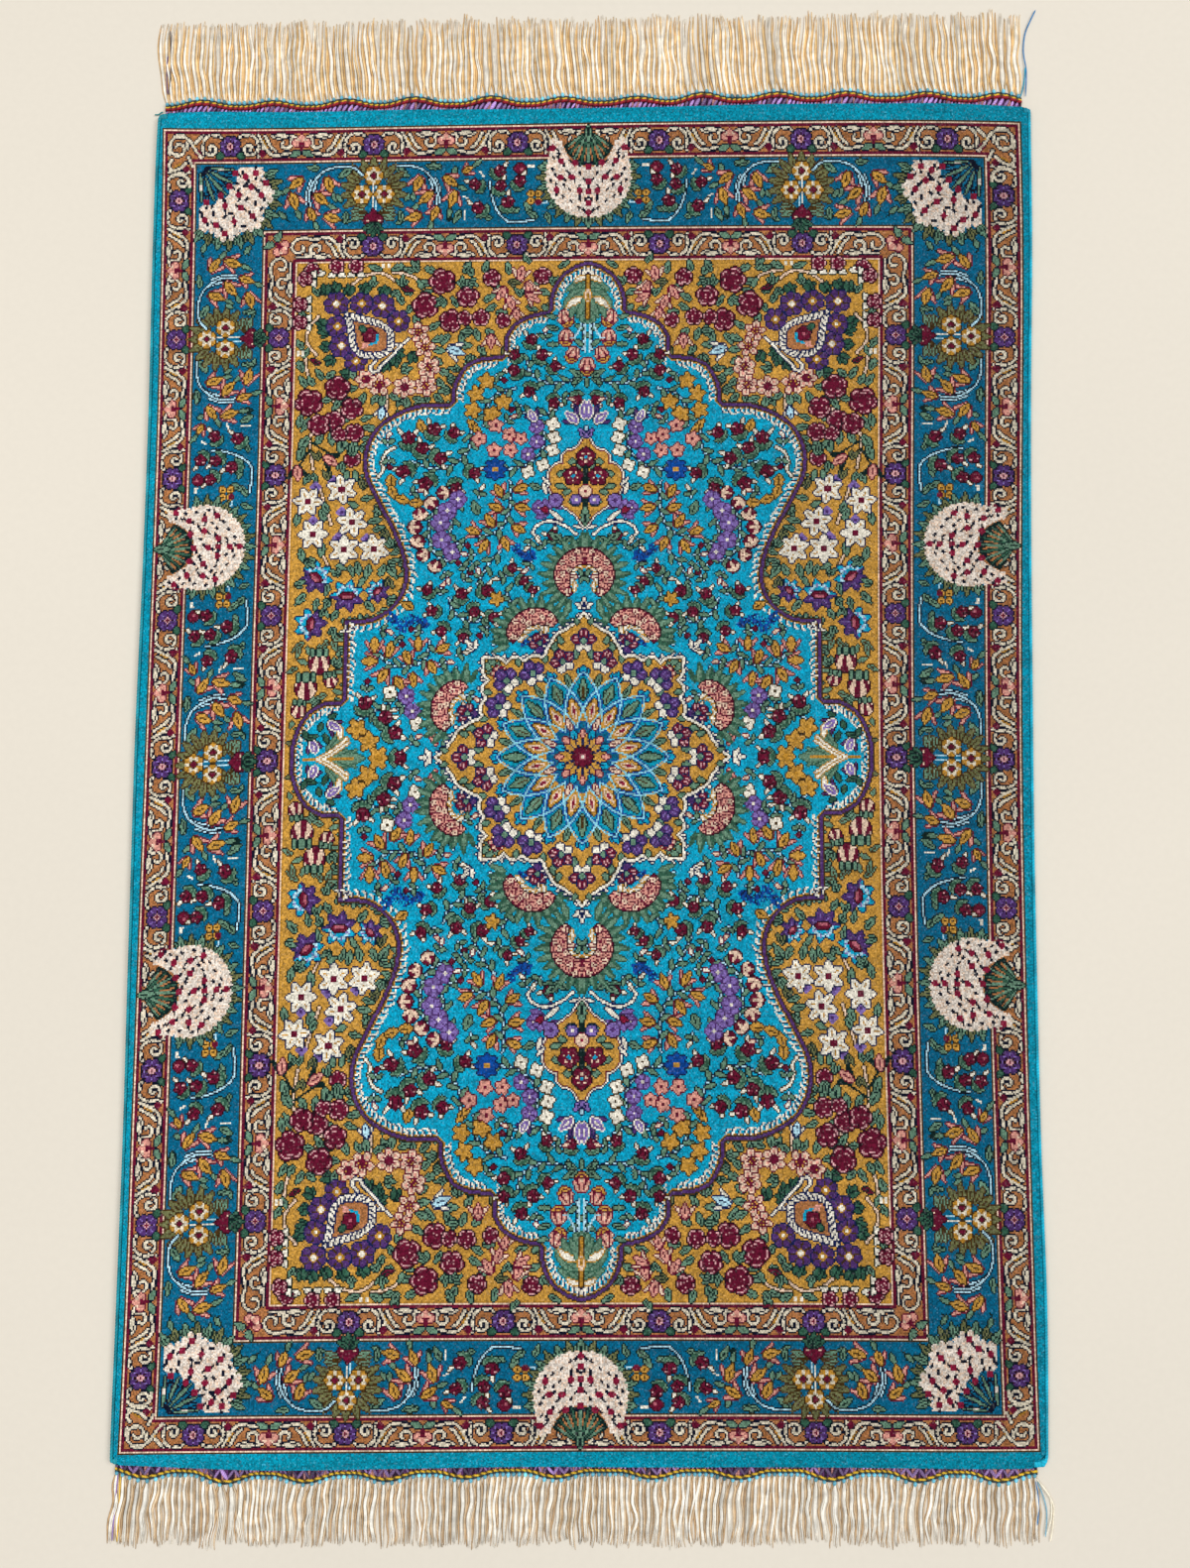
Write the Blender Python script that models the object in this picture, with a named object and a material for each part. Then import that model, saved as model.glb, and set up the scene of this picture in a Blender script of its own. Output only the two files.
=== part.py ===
"""A small knotted silk rug, lying flat with its fringes spread at both ends.

The origin is the middle of the underside. +Y runs along the rug, +Z points up from the floor.
The pile lies with its four edges slightly uneven, as a hand-woven rug does. An overcast selvedge
runs down each long side. Beyond each short side come a band of wrapped loops, two or three twined
cords that follow the same scallops, and the warp ends, which spread as a fringe.
"""

import random
from collections import namedtuple

import bpy
import numpy as np

MM = 0.001

# Driving dimensions, in millimetres
HALF_WIDTH = 300.0
THICKNESS = 4.0
RIM_CHAMFER = 0.8
GAP = 0.3
SELVEDGE_WIDTH = 2.4
LOOP_THICKNESS = 1.9
CORD_WIDTH = 1.2
FRINGE_THICKNESS = 1.0
ROOT_STRIP_WIDTH = 1.8
STRAND_WIDTH = 1.5
TIP_WIDTH = 0.9
STRANDS_AN_END = 138
SCALLOP_HALF_WIDTH = 22.0
CROWDING = 0.32

# How the strands lean and bend together in long waves, and how far each one strays from them
DRIFT_WAVE = 1.8
DRIFT_PERIOD = 132.0
DRIFT_SCATTER = 0.35
BEND_WAVE = 0.8
BEND_PERIOD = 82.0
BEND_SCATTER = 0.25
MIDDLE_SHARE = 0.75
REACH_SCATTER = 1.6

# How far back from each corner the pile's edge starts to turn
CORNER_TURN = {
    ("left", "top"): 5.0,
    ("right", "top"): 3.5,
    ("left", "bottom"): 3.5,
    ("right", "bottom"): 8.0,
}

# Sampling of the long smooth lines
SIDE_STEPS = 16
END_STEPS = 20
CORNER_STEPS = 4
SCALLOP_STEPS = 60
CROWD_SAMPLES = 1200
CORD_SIDES = 4
SELVEDGE_SIDES = 8
SELVEDGE_STEPS = 24

# How far the long sides stand from the middle line, at stations down the length
SideStation = namedtuple("SideStation", "y left right")
SIDES = (
    SideStation(-460, 301.8, 297.4),
    SideStation(-440, 301.8, 297.8),
    SideStation(-360, 300.8, 298.8),
    SideStation(-240, 299.8, 296.8),
    SideStation(-120, 299.8, 296.0),
    SideStation(0, 299.8, 296.2),
    SideStation(120, 298.2, 297.2),
    SideStation(240, 297.2, 298.8),
    SideStation(360, 297.8, 301.8),
    SideStation(440, 296.8, 302.2),
    SideStation(460, 296.0, 302.4),
)

# How far the two ends stand from the middle line, at stations across the width
EndStation = namedtuple("EndStation", "x top bottom")
ENDS = (
    EndStation(-305, 446.6, 451.8),
    EndStation(-280, 447.8, 452.4),
    EndStation(-200, 447.9, 454.2),
    EndStation(-120, 449.6, 452.4),
    EndStation(-40, 450.2, 450.4),
    EndStation(40, 451.3, 449.8),
    EndStation(120, 453.4, 448.9),
    EndStation(200, 453.9, 448.7),
    EndStation(240, 454.0, 448.8),
    EndStation(280, 452.2, 448.3),
    EndStation(305, 450.6, 447.6),
)

# Where the woven end swings outwards between its tied places, and how far
Scallop = namedtuple("Scallop", "x rise")
TOP_SCALLOPS = (
    Scallop(-267, 3.4),
    Scallop(-217, 3.2),
    Scallop(-167, 3.8),
    Scallop(-120, 4.2),
    Scallop(-67, 4.4),
    Scallop(-17, 3.4),
    Scallop(33, 3.0),
    Scallop(78, 4.6),
    Scallop(129, 3.6),
    Scallop(177, 3.8),
    Scallop(232, 3.2),
    Scallop(282, 4.2),
)
BOTTOM_SCALLOPS = (
    Scallop(-280, 4.6),
    Scallop(-228, 5.6),
    Scallop(-176, 4.6),
    Scallop(-124, 4.4),
    Scallop(-73, 3.8),
    Scallop(-16, 4.0),
    Scallop(46, 4.0),
    Scallop(101, 4.2),
    Scallop(160, 5.2),
    Scallop(215, 5.2),
    Scallop(267, 5.0),
)

# One row for each end: which way is out, the span of the finish, the offset of its first cord's
# middle beyond the pile, its cords from the inside out, and how far the fringe reaches
EndFinish = namedtuple(
    "EndFinish", "name out left right first_cord cords scallops reach_left reach_right sway"
)
END_FINISHES = (
    EndFinish(
        "top", 1, -292, 296.5, 3.3, ("red", "gold", "teal"), TOP_SCALLOPS, 513, 521, -2.8
    ),
    EndFinish(
        "bottom", -1, -298.5, 291, 2.8, ("gold", "teal"), BOTTOM_SCALLOPS, 503, 496, -1.4
    ),
)

# A loose end of selvedge yarn at the right end of the top root strip: its middle line
LooseEnd = namedtuple("LooseEnd", "x y")
LOOSE_YARN = (
    LooseEnd(299.4, 460.4),
    LooseEnd(300.2, 478.0),
    LooseEnd(298.6, 492.0),
    LooseEnd(299.9, 505.0),
    LooseEnd(303.6, 514.5),
    LooseEnd(307.6, 523.0),
)
LOOSE_YARN_WIDTH = 0.9

Finish = namedtuple("Finish", "colour roughness")
FINISHES = {
    "pile_silk": Finish((0.010, 0.300, 0.380), 0.62),
    "selvedge_silk": Finish((0.012, 0.330, 0.400), 0.60),
    "lilac_silk": Finish((0.240, 0.110, 0.340), 0.58),
    "red_silk": Finish((0.190, 0.006, 0.018), 0.58),
    "gold_silk": Finish((0.640, 0.300, 0.030), 0.55),
    "teal_silk": Finish((0.070, 0.290, 0.370), 0.58),
    "warp_silk": Finish((0.830, 0.800, 0.720), 0.55),
}


def through(stations, column, at):
    """Reads one column of a station table between its rows, along a smooth Hermite curve."""
    place = np.array([row[0] for row in stations], float)
    value = np.array([getattr(row, column) for row in stations], float)
    slope = np.gradient(value, place)
    at = np.asarray(at, float)
    row = np.clip(np.searchsorted(place, at) - 1, 0, len(place) - 2)
    span = place[row + 1] - place[row]
    t = (at - place[row]) / span
    start = value[row] * (1 + 2 * t) * (1 - t) ** 2 + slope[row] * span * t * (1 - t) ** 2
    finish = value[row + 1] * t**2 * (3 - 2 * t) + slope[row + 1] * span * t**2 * (t - 1)
    return start + finish


def swing(scallops, x):
    """How far a scalloped line stands out of its base at each x: one raised cosine a scallop."""
    x = np.asarray(x, float)
    out = np.zeros_like(x)
    for scallop in scallops:
        away = np.clip(np.abs(x - scallop.x) / SCALLOP_HALF_WIDTH, 0, 1)
        out += scallop.rise * (0.5 + 0.5 * np.cos(np.pi * away))
    return out


def rounded(start, corner, finish):
    """Points of a quarter turn from start to finish that bends towards the corner."""
    t = np.linspace(0, 1, CORNER_STEPS + 1)[:, None]
    start, corner, finish = (np.array(p, float) for p in (start, corner, finish))
    return (1 - t) ** 2 * start + 2 * t * (1 - t) * corner + t**2 * finish


def pile_outline():
    """The pile's outline, anticlockwise from the lower right corner, inside the selvedges."""
    inset = SELVEDGE_WIDTH + GAP
    corners = {}
    for side, sx in (("right", 1), ("left", -1)):
        for end, sy in (("top", 1), ("bottom", -1)):
            y = through(ENDS, end, sx * (HALF_WIDTH - inset)) * sy
            x = (through(SIDES, side, y) - inset) * sx
            corners[side, end] = (float(x), float(y))

    def side_point(side, sx, y):
        return ((through(SIDES, side, y) - inset) * sx, y)

    def end_point(end, sy, x):
        return (x, through(ENDS, end, x) * sy)

    points = []
    turns = (("right", 1, "top", 1), ("left", -1, "bottom", -1))
    for side, sx, end, sy in turns:
        before = "bottom" if end == "top" else "top"
        beyond = "left" if side == "right" else "right"
        turn = CORNER_TURN[side, end]
        next_turn = CORNER_TURN[beyond, end]
        low = corners[side, before][1] + sy * CORNER_TURN[side, before]
        high = corners[side, end][1] - sy * turn
        for y in np.linspace(low, high, SIDE_STEPS)[:-1]:
            points.append(side_point(side, sx, y))
        near = corners[side, end][0] - sx * turn
        far = corners[beyond, end][0] + sx * next_turn
        points.extend(
            rounded(side_point(side, sx, high), corners[side, end], end_point(end, sy, near))
        )
        for x in np.linspace(near, far, END_STEPS)[1:-1]:
            points.append(end_point(end, sy, x))
        drop = corners[beyond, end][1] - sy * next_turn
        points.extend(
            rounded(
                end_point(end, sy, far),
                corners[beyond, end],
                side_point(beyond, -sx, drop),
            )[:-1]
        )
    return points


def end_line(finish, x, offset):
    """Y of a line that runs a given distance beyond the pile's edge and follows the scallops."""
    edge = through(ENDS, finish.name, x)
    return finish.out * (edge + offset + swing(finish.scallops, x))


def cord_offset(finish, number):
    """Distance from the pile's edge to the middle of one twined cord, between scallops."""
    return finish.first_cord + number * (CORD_WIDTH + GAP)


def strand_roots(finish):
    """X of each warp bundle: they crowd together between scallops and part on the scallops."""
    x = np.linspace(finish.left, finish.right, CROWD_SAMPLES)
    peak = max(scallop.rise for scallop in finish.scallops)
    crowd = np.cumsum(1 + CROWDING * (1 - 2 * swing(finish.scallops, x) / peak))
    share = (np.arange(STRANDS_AN_END) + 0.5) / STRANDS_AN_END
    return np.interp(share * crowd[-1], crowd, x)


def strand_outline(root, middle, tip):
    """Up one side of a strand and down the other, wide at its root and narrow at its tip."""
    stations = ((root, STRAND_WIDTH), (middle, STRAND_WIDTH), (tip, TIP_WIDTH))
    left = [(point[0] - width / 2, point[1]) for point, width in stations]
    right = [(point[0] + width / 2, point[1]) for point, width in stations]
    return left + right[::-1]


def loose_yarn_outline():
    """Up one side of the loose yarn and down the other, from the end of the root strip."""
    half = LOOSE_YARN_WIDTH / 2
    left = [(point.x - half, point.y) for point in LOOSE_YARN]
    right = [(point.x + half, point.y) for point in LOOSE_YARN]
    return left + right[::-1]


def wave(x, size, period):
    """A long sideways wave along the width of the rug."""
    return size * np.sin(2 * np.pi * x / period)


def fringe_outline(finish):
    """A comb: a narrow strip behind the last cord, and a strand for each warp bundle."""
    draw = random.Random(finish.name)
    inner = cord_offset(finish, len(finish.cords) - 1) + CORD_WIDTH / 2 + GAP
    outer = inner + ROOT_STRIP_WIDTH
    points = []
    for x in strand_roots(finish):
        y = end_line(finish, x, outer)
        share = (x - finish.left) / (finish.right - finish.left)
        reach = finish.reach_left + (finish.reach_right - finish.reach_left) * share
        tip_y = finish.out * (reach + draw.uniform(-REACH_SCATTER, REACH_SCATTER))
        drift = finish.sway + wave(x, DRIFT_WAVE, DRIFT_PERIOD)
        drift += draw.uniform(-DRIFT_SCATTER, DRIFT_SCATTER)
        bend = wave(x, BEND_WAVE, BEND_PERIOD) + draw.uniform(-BEND_SCATTER, BEND_SCATTER)
        middle = (x + MIDDLE_SHARE * drift + bend, (y + tip_y) / 2)
        points.extend(strand_outline((x, y), middle, (x + drift, tip_y)))
    last = finish.right
    if finish.name == "top":
        points.extend(loose_yarn_outline())
        last = LOOSE_YARN[0].x + LOOSE_YARN_WIDTH / 2
    for x in np.linspace(last, finish.left, SCALLOP_STEPS):
        points.append((x, end_line(finish, x, inner)))
    return points if finish.out > 0 else points[::-1]


def loop_outline(finish):
    """The band of wrapped loops, from just off the pile to just short of the first cord."""
    x = np.linspace(finish.left, finish.right, SCALLOP_STEPS)
    inner = finish.out * (through(ENDS, finish.name, x) + GAP)
    outer = end_line(finish, x, finish.first_cord - CORD_WIDTH / 2 - GAP)
    points = list(zip(x, outer)) + list(zip(x, inner))[::-1]
    return points[::-1] if finish.out > 0 else points


def silk(name):
    """A Principled material in one of the rug's plain finishes."""
    if name in bpy.data.materials:
        return bpy.data.materials[name]
    material = bpy.data.materials.new(name)
    material.use_nodes = True
    shader = material.node_tree.nodes["Principled BSDF"]
    shader.inputs["Base Color"].default_value = (*FINISHES[name].colour, 1)
    shader.inputs["Roughness"].default_value = FINISHES[name].roughness
    shader.inputs["Metallic"].default_value = 0
    return material


def curve_object(name, curve, points, z, finish):
    """Puts a poly spline through the points into a curve and places it at a height."""
    spline = curve.splines.new("POLY")
    spline.points.add(len(points) - 1)
    for station, (x, y) in zip(spline.points, points):
        station.co = (x * MM, y * MM, 0, 1)
    spline.use_cyclic_u = curve.dimensions == "2D"
    curve.materials.append(silk(finish))
    piece = bpy.data.objects.new(name, curve)
    piece.location.z = z * MM
    return piece


def flat_piece(name, points, thickness, finish, chamfer=0):
    """A flat outline with a thickness, lying on the floor, its rim chamfered if asked."""
    curve = bpy.data.curves.new(name, "CURVE")
    curve.dimensions = "2D"
    curve.fill_mode = "BOTH"
    curve.extrude = (thickness / 2 - chamfer) * MM
    curve.bevel_depth = chamfer * MM
    curve.bevel_resolution = 0
    curve.offset = -chamfer * MM
    return curve_object(name, curve, points, thickness / 2, finish)


def round_piece(name, points, width, finish, sides):
    """A round cord along a line on the floor, its two ends capped."""
    curve = bpy.data.curves.new(name, "CURVE")
    curve.dimensions = "3D"
    curve.bevel_depth = width / 2 * MM
    curve.bevel_resolution = sides // 2 - 2
    curve.use_fill_caps = True
    return curve_object(name, curve, points, width / 2, finish)


def selvedge(side, sx):
    """The overcast cord down one long side, outside the pile."""
    low = CORNER_TURN[side, "bottom"] - float(through(ENDS, "bottom", sx * HALF_WIDTH))
    high = float(through(ENDS, "top", sx * HALF_WIDTH)) - CORNER_TURN[side, "top"]
    y = np.linspace(low, high, SELVEDGE_STEPS)
    x = sx * (through(SIDES, side, y) - SELVEDGE_WIDTH / 2)
    name = f"selvedge_{side}"
    return round_piece(name, list(zip(x, y)), SELVEDGE_WIDTH, "selvedge_silk", SELVEDGE_SIDES)


def end_pieces(finish):
    """Everything beyond one short side: the loop band, its cords and the fringe."""
    yield flat_piece(
        f"loop_band_{finish.name}", loop_outline(finish), LOOP_THICKNESS, "lilac_silk"
    )
    x = np.linspace(finish.left, finish.right, SCALLOP_STEPS)
    for number, colour in enumerate(finish.cords):
        points = list(zip(x, end_line(finish, x, cord_offset(finish, number))))
        name = f"{colour}_cord_{finish.name}"
        yield round_piece(name, points, CORD_WIDTH, f"{colour}_silk", CORD_SIDES)
    yield flat_piece(
        f"fringe_{finish.name}", fringe_outline(finish), FRINGE_THICKNESS, "warp_silk"
    )


def build():
    """Clears the scene and builds the rug in a collection of its own, under one empty."""
    for old in list(bpy.data.objects):
        bpy.data.objects.remove(old, do_unlink=True)
    collection = bpy.data.collections.new("persian_rug")
    bpy.context.scene.collection.children.link(collection)
    centre = bpy.data.objects.new("rug_centre", None)
    collection.objects.link(centre)
    pieces = [flat_piece("rug_body", pile_outline(), THICKNESS, "pile_silk", RIM_CHAMFER)]
    pieces += [selvedge("left", -1), selvedge("right", 1)]
    for finish in END_FINISHES:
        pieces += list(end_pieces(finish))
    for piece in pieces:
        piece.parent = centre
        collection.objects.link(piece)


build()
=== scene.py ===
"""A small hand-knotted silk rug on the floor, tied knot by knot from a weaver's chart.

The plan of the weave is charted in knots for one quarter and mirrored to the other three, as a
weaver reads a quarter chart. Each run of equal knots in a row is one quad of the pile. The plan is
then drawn slightly out of true, as the finished rug lies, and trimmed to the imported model's
outline. Selvedges, looped end bands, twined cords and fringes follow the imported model's own lines,
whose values are repeated here in millimetres.
"""

import random
from collections import namedtuple

import bpy
import mathutils
import numpy as np
from numpy import (arange, arctan2, array, clip, concatenate, cos, degrees, hypot, interp, linspace,
                   mod, pi, radians, sin, sqrt, stack, vstack, where, zeros)
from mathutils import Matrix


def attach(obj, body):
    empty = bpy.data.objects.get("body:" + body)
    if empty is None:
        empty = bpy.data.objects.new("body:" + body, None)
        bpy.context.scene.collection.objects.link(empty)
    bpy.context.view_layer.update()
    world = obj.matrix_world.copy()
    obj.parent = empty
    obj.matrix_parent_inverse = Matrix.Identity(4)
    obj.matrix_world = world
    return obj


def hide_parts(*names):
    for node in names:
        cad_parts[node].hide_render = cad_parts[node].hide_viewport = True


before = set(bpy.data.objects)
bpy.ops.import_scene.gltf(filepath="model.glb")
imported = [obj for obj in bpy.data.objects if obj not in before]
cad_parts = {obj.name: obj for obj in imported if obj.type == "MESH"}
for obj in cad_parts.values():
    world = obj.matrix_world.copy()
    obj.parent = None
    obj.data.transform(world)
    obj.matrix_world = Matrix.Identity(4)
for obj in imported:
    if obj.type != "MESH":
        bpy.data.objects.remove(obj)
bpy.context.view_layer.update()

bl_info = {
    "name": "Knotted Silk Rug",
    "version": (1, 0, 0),
    "blender": (4, 5, 0),
    "location": "3D View > Sidebar > Rug",
    "description": "Ties a small silk rug with its selvedges, end bands, cords and fringes",
    "category": "Object",
}

MM = 0.001

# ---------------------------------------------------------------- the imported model's own lines

HALF_WIDTH, THICKNESS, GAP = 300.0, 4.0, 0.3
SELVEDGE_WIDTH, CORD_WIDTH, STRANDS_AN_END = 2.4, 1.2, 138
SCALLOP_HALF_WIDTH, CROWDING = 22.0, 0.32
CORNER_TURN = {("left", "top"): 5.0, ("right", "top"): 3.5,
               ("left", "bottom"): 3.5, ("right", "bottom"): 8.0}

# How far the long sides stand from the middle line (y, left, right), and the ends (x, top, bottom)
SIDES = array((
    (-460, 301.8, 297.4), (-440, 301.8, 297.8), (-360, 300.8, 298.8), (-240, 299.8, 296.8),
    (-120, 299.8, 296.0), (0, 299.8, 296.2), (120, 298.2, 297.2), (240, 297.2, 298.8),
    (360, 297.8, 301.8), (440, 296.8, 302.2), (460, 296.0, 302.4)))
ENDS = array((
    (-305, 446.6, 451.8), (-280, 447.8, 452.4), (-200, 447.9, 454.2), (-120, 449.6, 452.4),
    (-40, 450.2, 450.4), (40, 451.3, 449.8), (120, 453.4, 448.9), (200, 453.9, 448.7),
    (240, 454.0, 448.8), (280, 452.2, 448.3), (305, 450.6, 447.6)))
COLUMN = {"left": 1, "right": 2, "top": 1, "bottom": 2}

# Where the woven ends swing outwards between their tied places (x, rise)
TOP_SCALLOPS = ((-267, 3.4), (-217, 3.2), (-167, 3.8), (-120, 4.2), (-67, 4.4), (-17, 3.4),
                (33, 3.0), (78, 4.6), (129, 3.6), (177, 3.8), (232, 3.2), (282, 4.2))
BOTTOM_SCALLOPS = ((-280, 4.6), (-228, 5.6), (-176, 4.6), (-124, 4.4), (-73, 3.8), (-16, 4.0),
                   (46, 4.0), (101, 4.2), (160, 5.2), (215, 5.2), (267, 5.0))
EndFinish = namedtuple(
    "EndFinish", "name out left right first_cord cords scallops reach_left reach_right sway")
END_FINISHES = (
    EndFinish("top", 1, -292, 296.5, 3.3, ("red", "gold", "teal"), TOP_SCALLOPS, 513, 521, -2.8),
    EndFinish("bottom", -1, -298.5, 291, 2.8, ("gold", "teal"), BOTTOM_SCALLOPS, 503, 496, -1.4))
LOOSE_YARN = ((299.4, 460.4), (300.2, 478), (298.6, 492), (299.9, 505), (303.6, 514.5), (307.4, 522.4))
# The yarns that stray at the corners, and their colours
STRAYS = (
    (LOOSE_YARN, (0.22, 0.50, 0.74)), (((296, 460), (298.6, 470), (299.6, 481)), (0.12, 0.62, 0.76)),
    (((-290, 462), (-289.4, 490), (-290.6, 508)), (0.45, 0.42, 0.42)),
    (((-291, 462), (-292.4, 478), (-291.6, 490)), (0.42, 0.34, 0.52)),
    (((-294, 449.6), (-297, 448), (-299.6, 447.4)), (0.10, 0.50, 0.52)),
    (((-296.4, -456), (-298.2, -480), (-299.2, -500)), (0.62, 0.52, 0.74)),
    (((-295, -457), (-295.4, -482), (-296, -500.6)), (0.92, 0.76, 0.34)),
    (((289.6, -456), (291.6, -470), (290.4, -484)), (0.25, 0.50, 0.74)),
    (((291, -457), (296.4, -474), (295.4, -491)), (0.55, 0.74, 0.84)),
    (((290, -455), (298.4, -466), (299.6, -478), (296, -490)), (0.98, 0.95, 0.88)),
    (((291, -456), (300.4, -470), (300.6, -482), (298.6, -494)), (0.98, 0.95, 0.88)))

# How the finished rug is drawn out of true: powers of x/300 and y/450, millimetres added to x and y
DRIFT = (
    (0, 0, -1.4, 4.1), (0, 2, 4.6, -22.5), (0, 3, 1.0, 0), (0, 4, -3.6, 18.8), (0, 5, -1.0, 0),
    (1, 0, -0.2, 2.0), (1, 1, -6.5, -4.3), (1, 2, 5.8, -1.0), (1, 3, 1.1, 8.7), (1, 4, -1.1, 3.8),
    (1, 5, -2.2, -4.4), (2, 0, -4.3, -1.1), (2, 1, -1.3, 0.9), (2, 2, 2.9, -0.1),
    (2, 3, -2.2, -0.9), (2, 4, -0.9, -1.1), (3, 0, -0.5, 3.0), (3, 1, 12.1, 1.4),
    (3, 2, -0.9, -4.1), (3, 3, 1.1, 0.5), (4, 0, 4.1, -4.1), (4, 1, 5.3, -0.3),
    (4, 2, -1.9, 5.2), (5, 0, -1.1, -0.6), (5, 1, -5.8, -3.1))
EDGE_COLUMNS, OUTER_COLUMN, EDGE_ROWS, OUTER_ROW = 296, 292, 450, 440


def through(stations, column, at):
    """One column of a station table between its rows: a Hermite curve with np.gradient slopes."""
    place, value = stations[:, 0], stations[:, COLUMN[column]]
    slope = np.gradient(value, place)
    at = np.asarray(at, float)
    row = clip(np.searchsorted(place, at) - 1, 0, len(place) - 2)
    span = place[row + 1] - place[row]
    t = (at - place[row]) / span
    start = value[row] * (1 + 2 * t) * (1 - t) ** 2 + slope[row] * span * t * (1 - t) ** 2
    return start + value[row + 1] * t**2 * (3 - 2 * t) + slope[row + 1] * span * t**2 * (t - 1)


def swing(scallops, x):
    """How far a scalloped line stands out of its base: one raised cosine a scallop."""
    x = np.asarray(x, float)[..., None]
    place, rise = array(scallops, float).T
    away = clip(abs(x - place) / SCALLOP_HALF_WIDTH, 0, 1)
    return (rise * (0.5 + 0.5 * cos(pi * away))).sum(-1)


def end_line(finish, x, offset):
    """Y of a line a given distance beyond the pile's edge, along the scallops."""
    return finish.out * (through(ENDS, finish.name, x) + offset + swing(finish.scallops, x))


def cord_offset(finish, number):
    """Distance from the pile's edge to the middle of one twined cord, between scallops."""
    return finish.first_cord + number * (CORD_WIDTH + GAP)


def strand_roots(finish):
    """X of each warp bundle: equal shares of a density that rises between the scallops."""
    x = linspace(finish.left, finish.right, 1200)
    peak = max(rise for _, rise in finish.scallops)
    crowd = np.cumsum(1 + CROWDING * (1 - 2 * swing(finish.scallops, x) / peak))
    return interp((arange(STRANDS_AN_END) + 0.5) / STRANDS_AN_END * crowd[-1], crowd, x)


# ---------------------------------------------------------------- the chart

COLUMNS, ROWS = 300, 450      # knots of a quarter, 1 mm each
ACROSS, ALONG = np.meshgrid(arange(COLUMNS) + 0.5, arange(ROWS) + 0.5)
CHART = zeros((ROWS, COLUMNS), np.uint8)

DYES = {
    "sea": "0092ae", "turquoise": "04a0c4", "border_blue": "006488", "gold": "c8943e", "tan": "ac7042",
    "maroon": "660e2c", "wine": "2c0616", "rose": "b4606e", "pink": "dc9888", "blush": "e8c8ae",
    "ivory": "eee6d4", "navy": "0e1c4c", "purple": "50306c", "lilac": "8068ac", "sage": "668a72",
    "bottle": "082220", "olive": "442e0e", "ochre": "b8842c", "sky": "b4dcea", "cobalt": "06489a",
    "leaf": "325c48", "moss": "6e7048", "shell": "e8dacc", "crimson": "861636", "aqua": "8acfe0",
    "ink": "080e24", "cream": "dcd0b8", "petal": "d8a2a4",
}
NUMBER = {name: i for i, name in enumerate(DYES)}


def grown(mask, knots=1):
    """The mask with so many rings of the knots that touch its sides."""
    for _ in range(knots):
        out = mask.copy()
        out[1:] |= mask[:-1]
        out[:-1] |= mask[1:]
        out[:, 1:] |= mask[:, :-1]
        out[:, :-1] |= mask[:, 1:]
        mask = out
    return mask


def shrunk(mask, knots):
    """The mask less so many knots all round; it reaches on past the two middle lines."""
    return ~grown(~mask, knots)


def off(x, y, turn, far, aside=0.0):
    """The place so far from (x, y) in a direction, and so far to the left of it."""
    c, s = cos(radians(turn)), sin(radians(turn))
    return x + far * c - aside * s, y + far * s + aside * c


def askew(a, b, turn, back=0.0):
    """Places (a, b) as seen along a line turned so far about a point so far behind."""
    c, s = cos(radians(turn)), sin(radians(turn))
    return (a + back) * c + b * s, b * c - (a + back) * s


class Window:
    """The knots round a motif, seen from it: a runs towards its tip and b to its left."""

    def __init__(self, x, y, turn, reach):
        self.part = tuple(slice(*(int(clip(p + s * reach + (s > 0), 0, most)) for s in (-1, 1)))
                          for p, most in ((y, ROWS), (x, COLUMNS)))
        u, v = ACROSS[self.part] - x, ALONG[self.part] - y
        self.a, self.b = askew(u, v, turn)
        self.far, self.angle = hypot(u, v), arctan2(self.b, self.a)


WHOLE = Window(0, 0, 0, 1000)


def lay(window, mask, dye, line=None):
    """Ties the masked knots in one dye, and those round them in the line's dye."""
    view = CHART[window.part]
    if line:
        view[grown(mask)] = NUMBER[line]
    view[mask] = NUMBER[dye]


def tie(mask, dye, line=None):
    """Ties masked knots of the whole chart."""
    lay(WHOLE, mask, dye, line)


def sow(make, rows, *rest, **more):
    """Makes a motif at each row of a table, which gives its first values."""
    for row in rows:
        make(*row, *rest, **more)


def dot(x, y, radius, dye, line=None):
    """A round dot."""
    w = Window(x, y, 0, 4)
    lay(w, w.far < radius, dye, line)


def fleck(x, y, turn, length, dye, width=1.2):
    """A short stitch of one or two knots."""
    w = Window(x, y, turn, length + 2)
    lay(w, (abs(w.a) < length / 2) & (abs(w.b) < width / 2), dye)


def leaf(x, y, turn, length, dye="sage", line="bottle", width=0.42, bend=0.0, vein=None):
    """A pointed leaf from its foot: its half width is a sine of the way along it, cut by teeth."""
    w = Window(x, y, turn, length + 3)
    t = clip(w.a / length, 0, 1)
    away = abs(w.b - bend * length * sin(pi * t))
    teeth = 1 - 0.3 * (length > 6.5) * mod(t * length / 3.1, 1)
    blade = (w.a > 0) & (w.a < length) & (away < 0.5 * width * length * sin(pi * t**0.8) * teeth + 0.2)
    lay(w, blade, dye, line)
    if vein or line and length > 7.5 and width > 0.3:
        lay(w, blade & (away < 0.5) & (t > 0.12) & (t < 0.6), vein or line)


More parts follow.
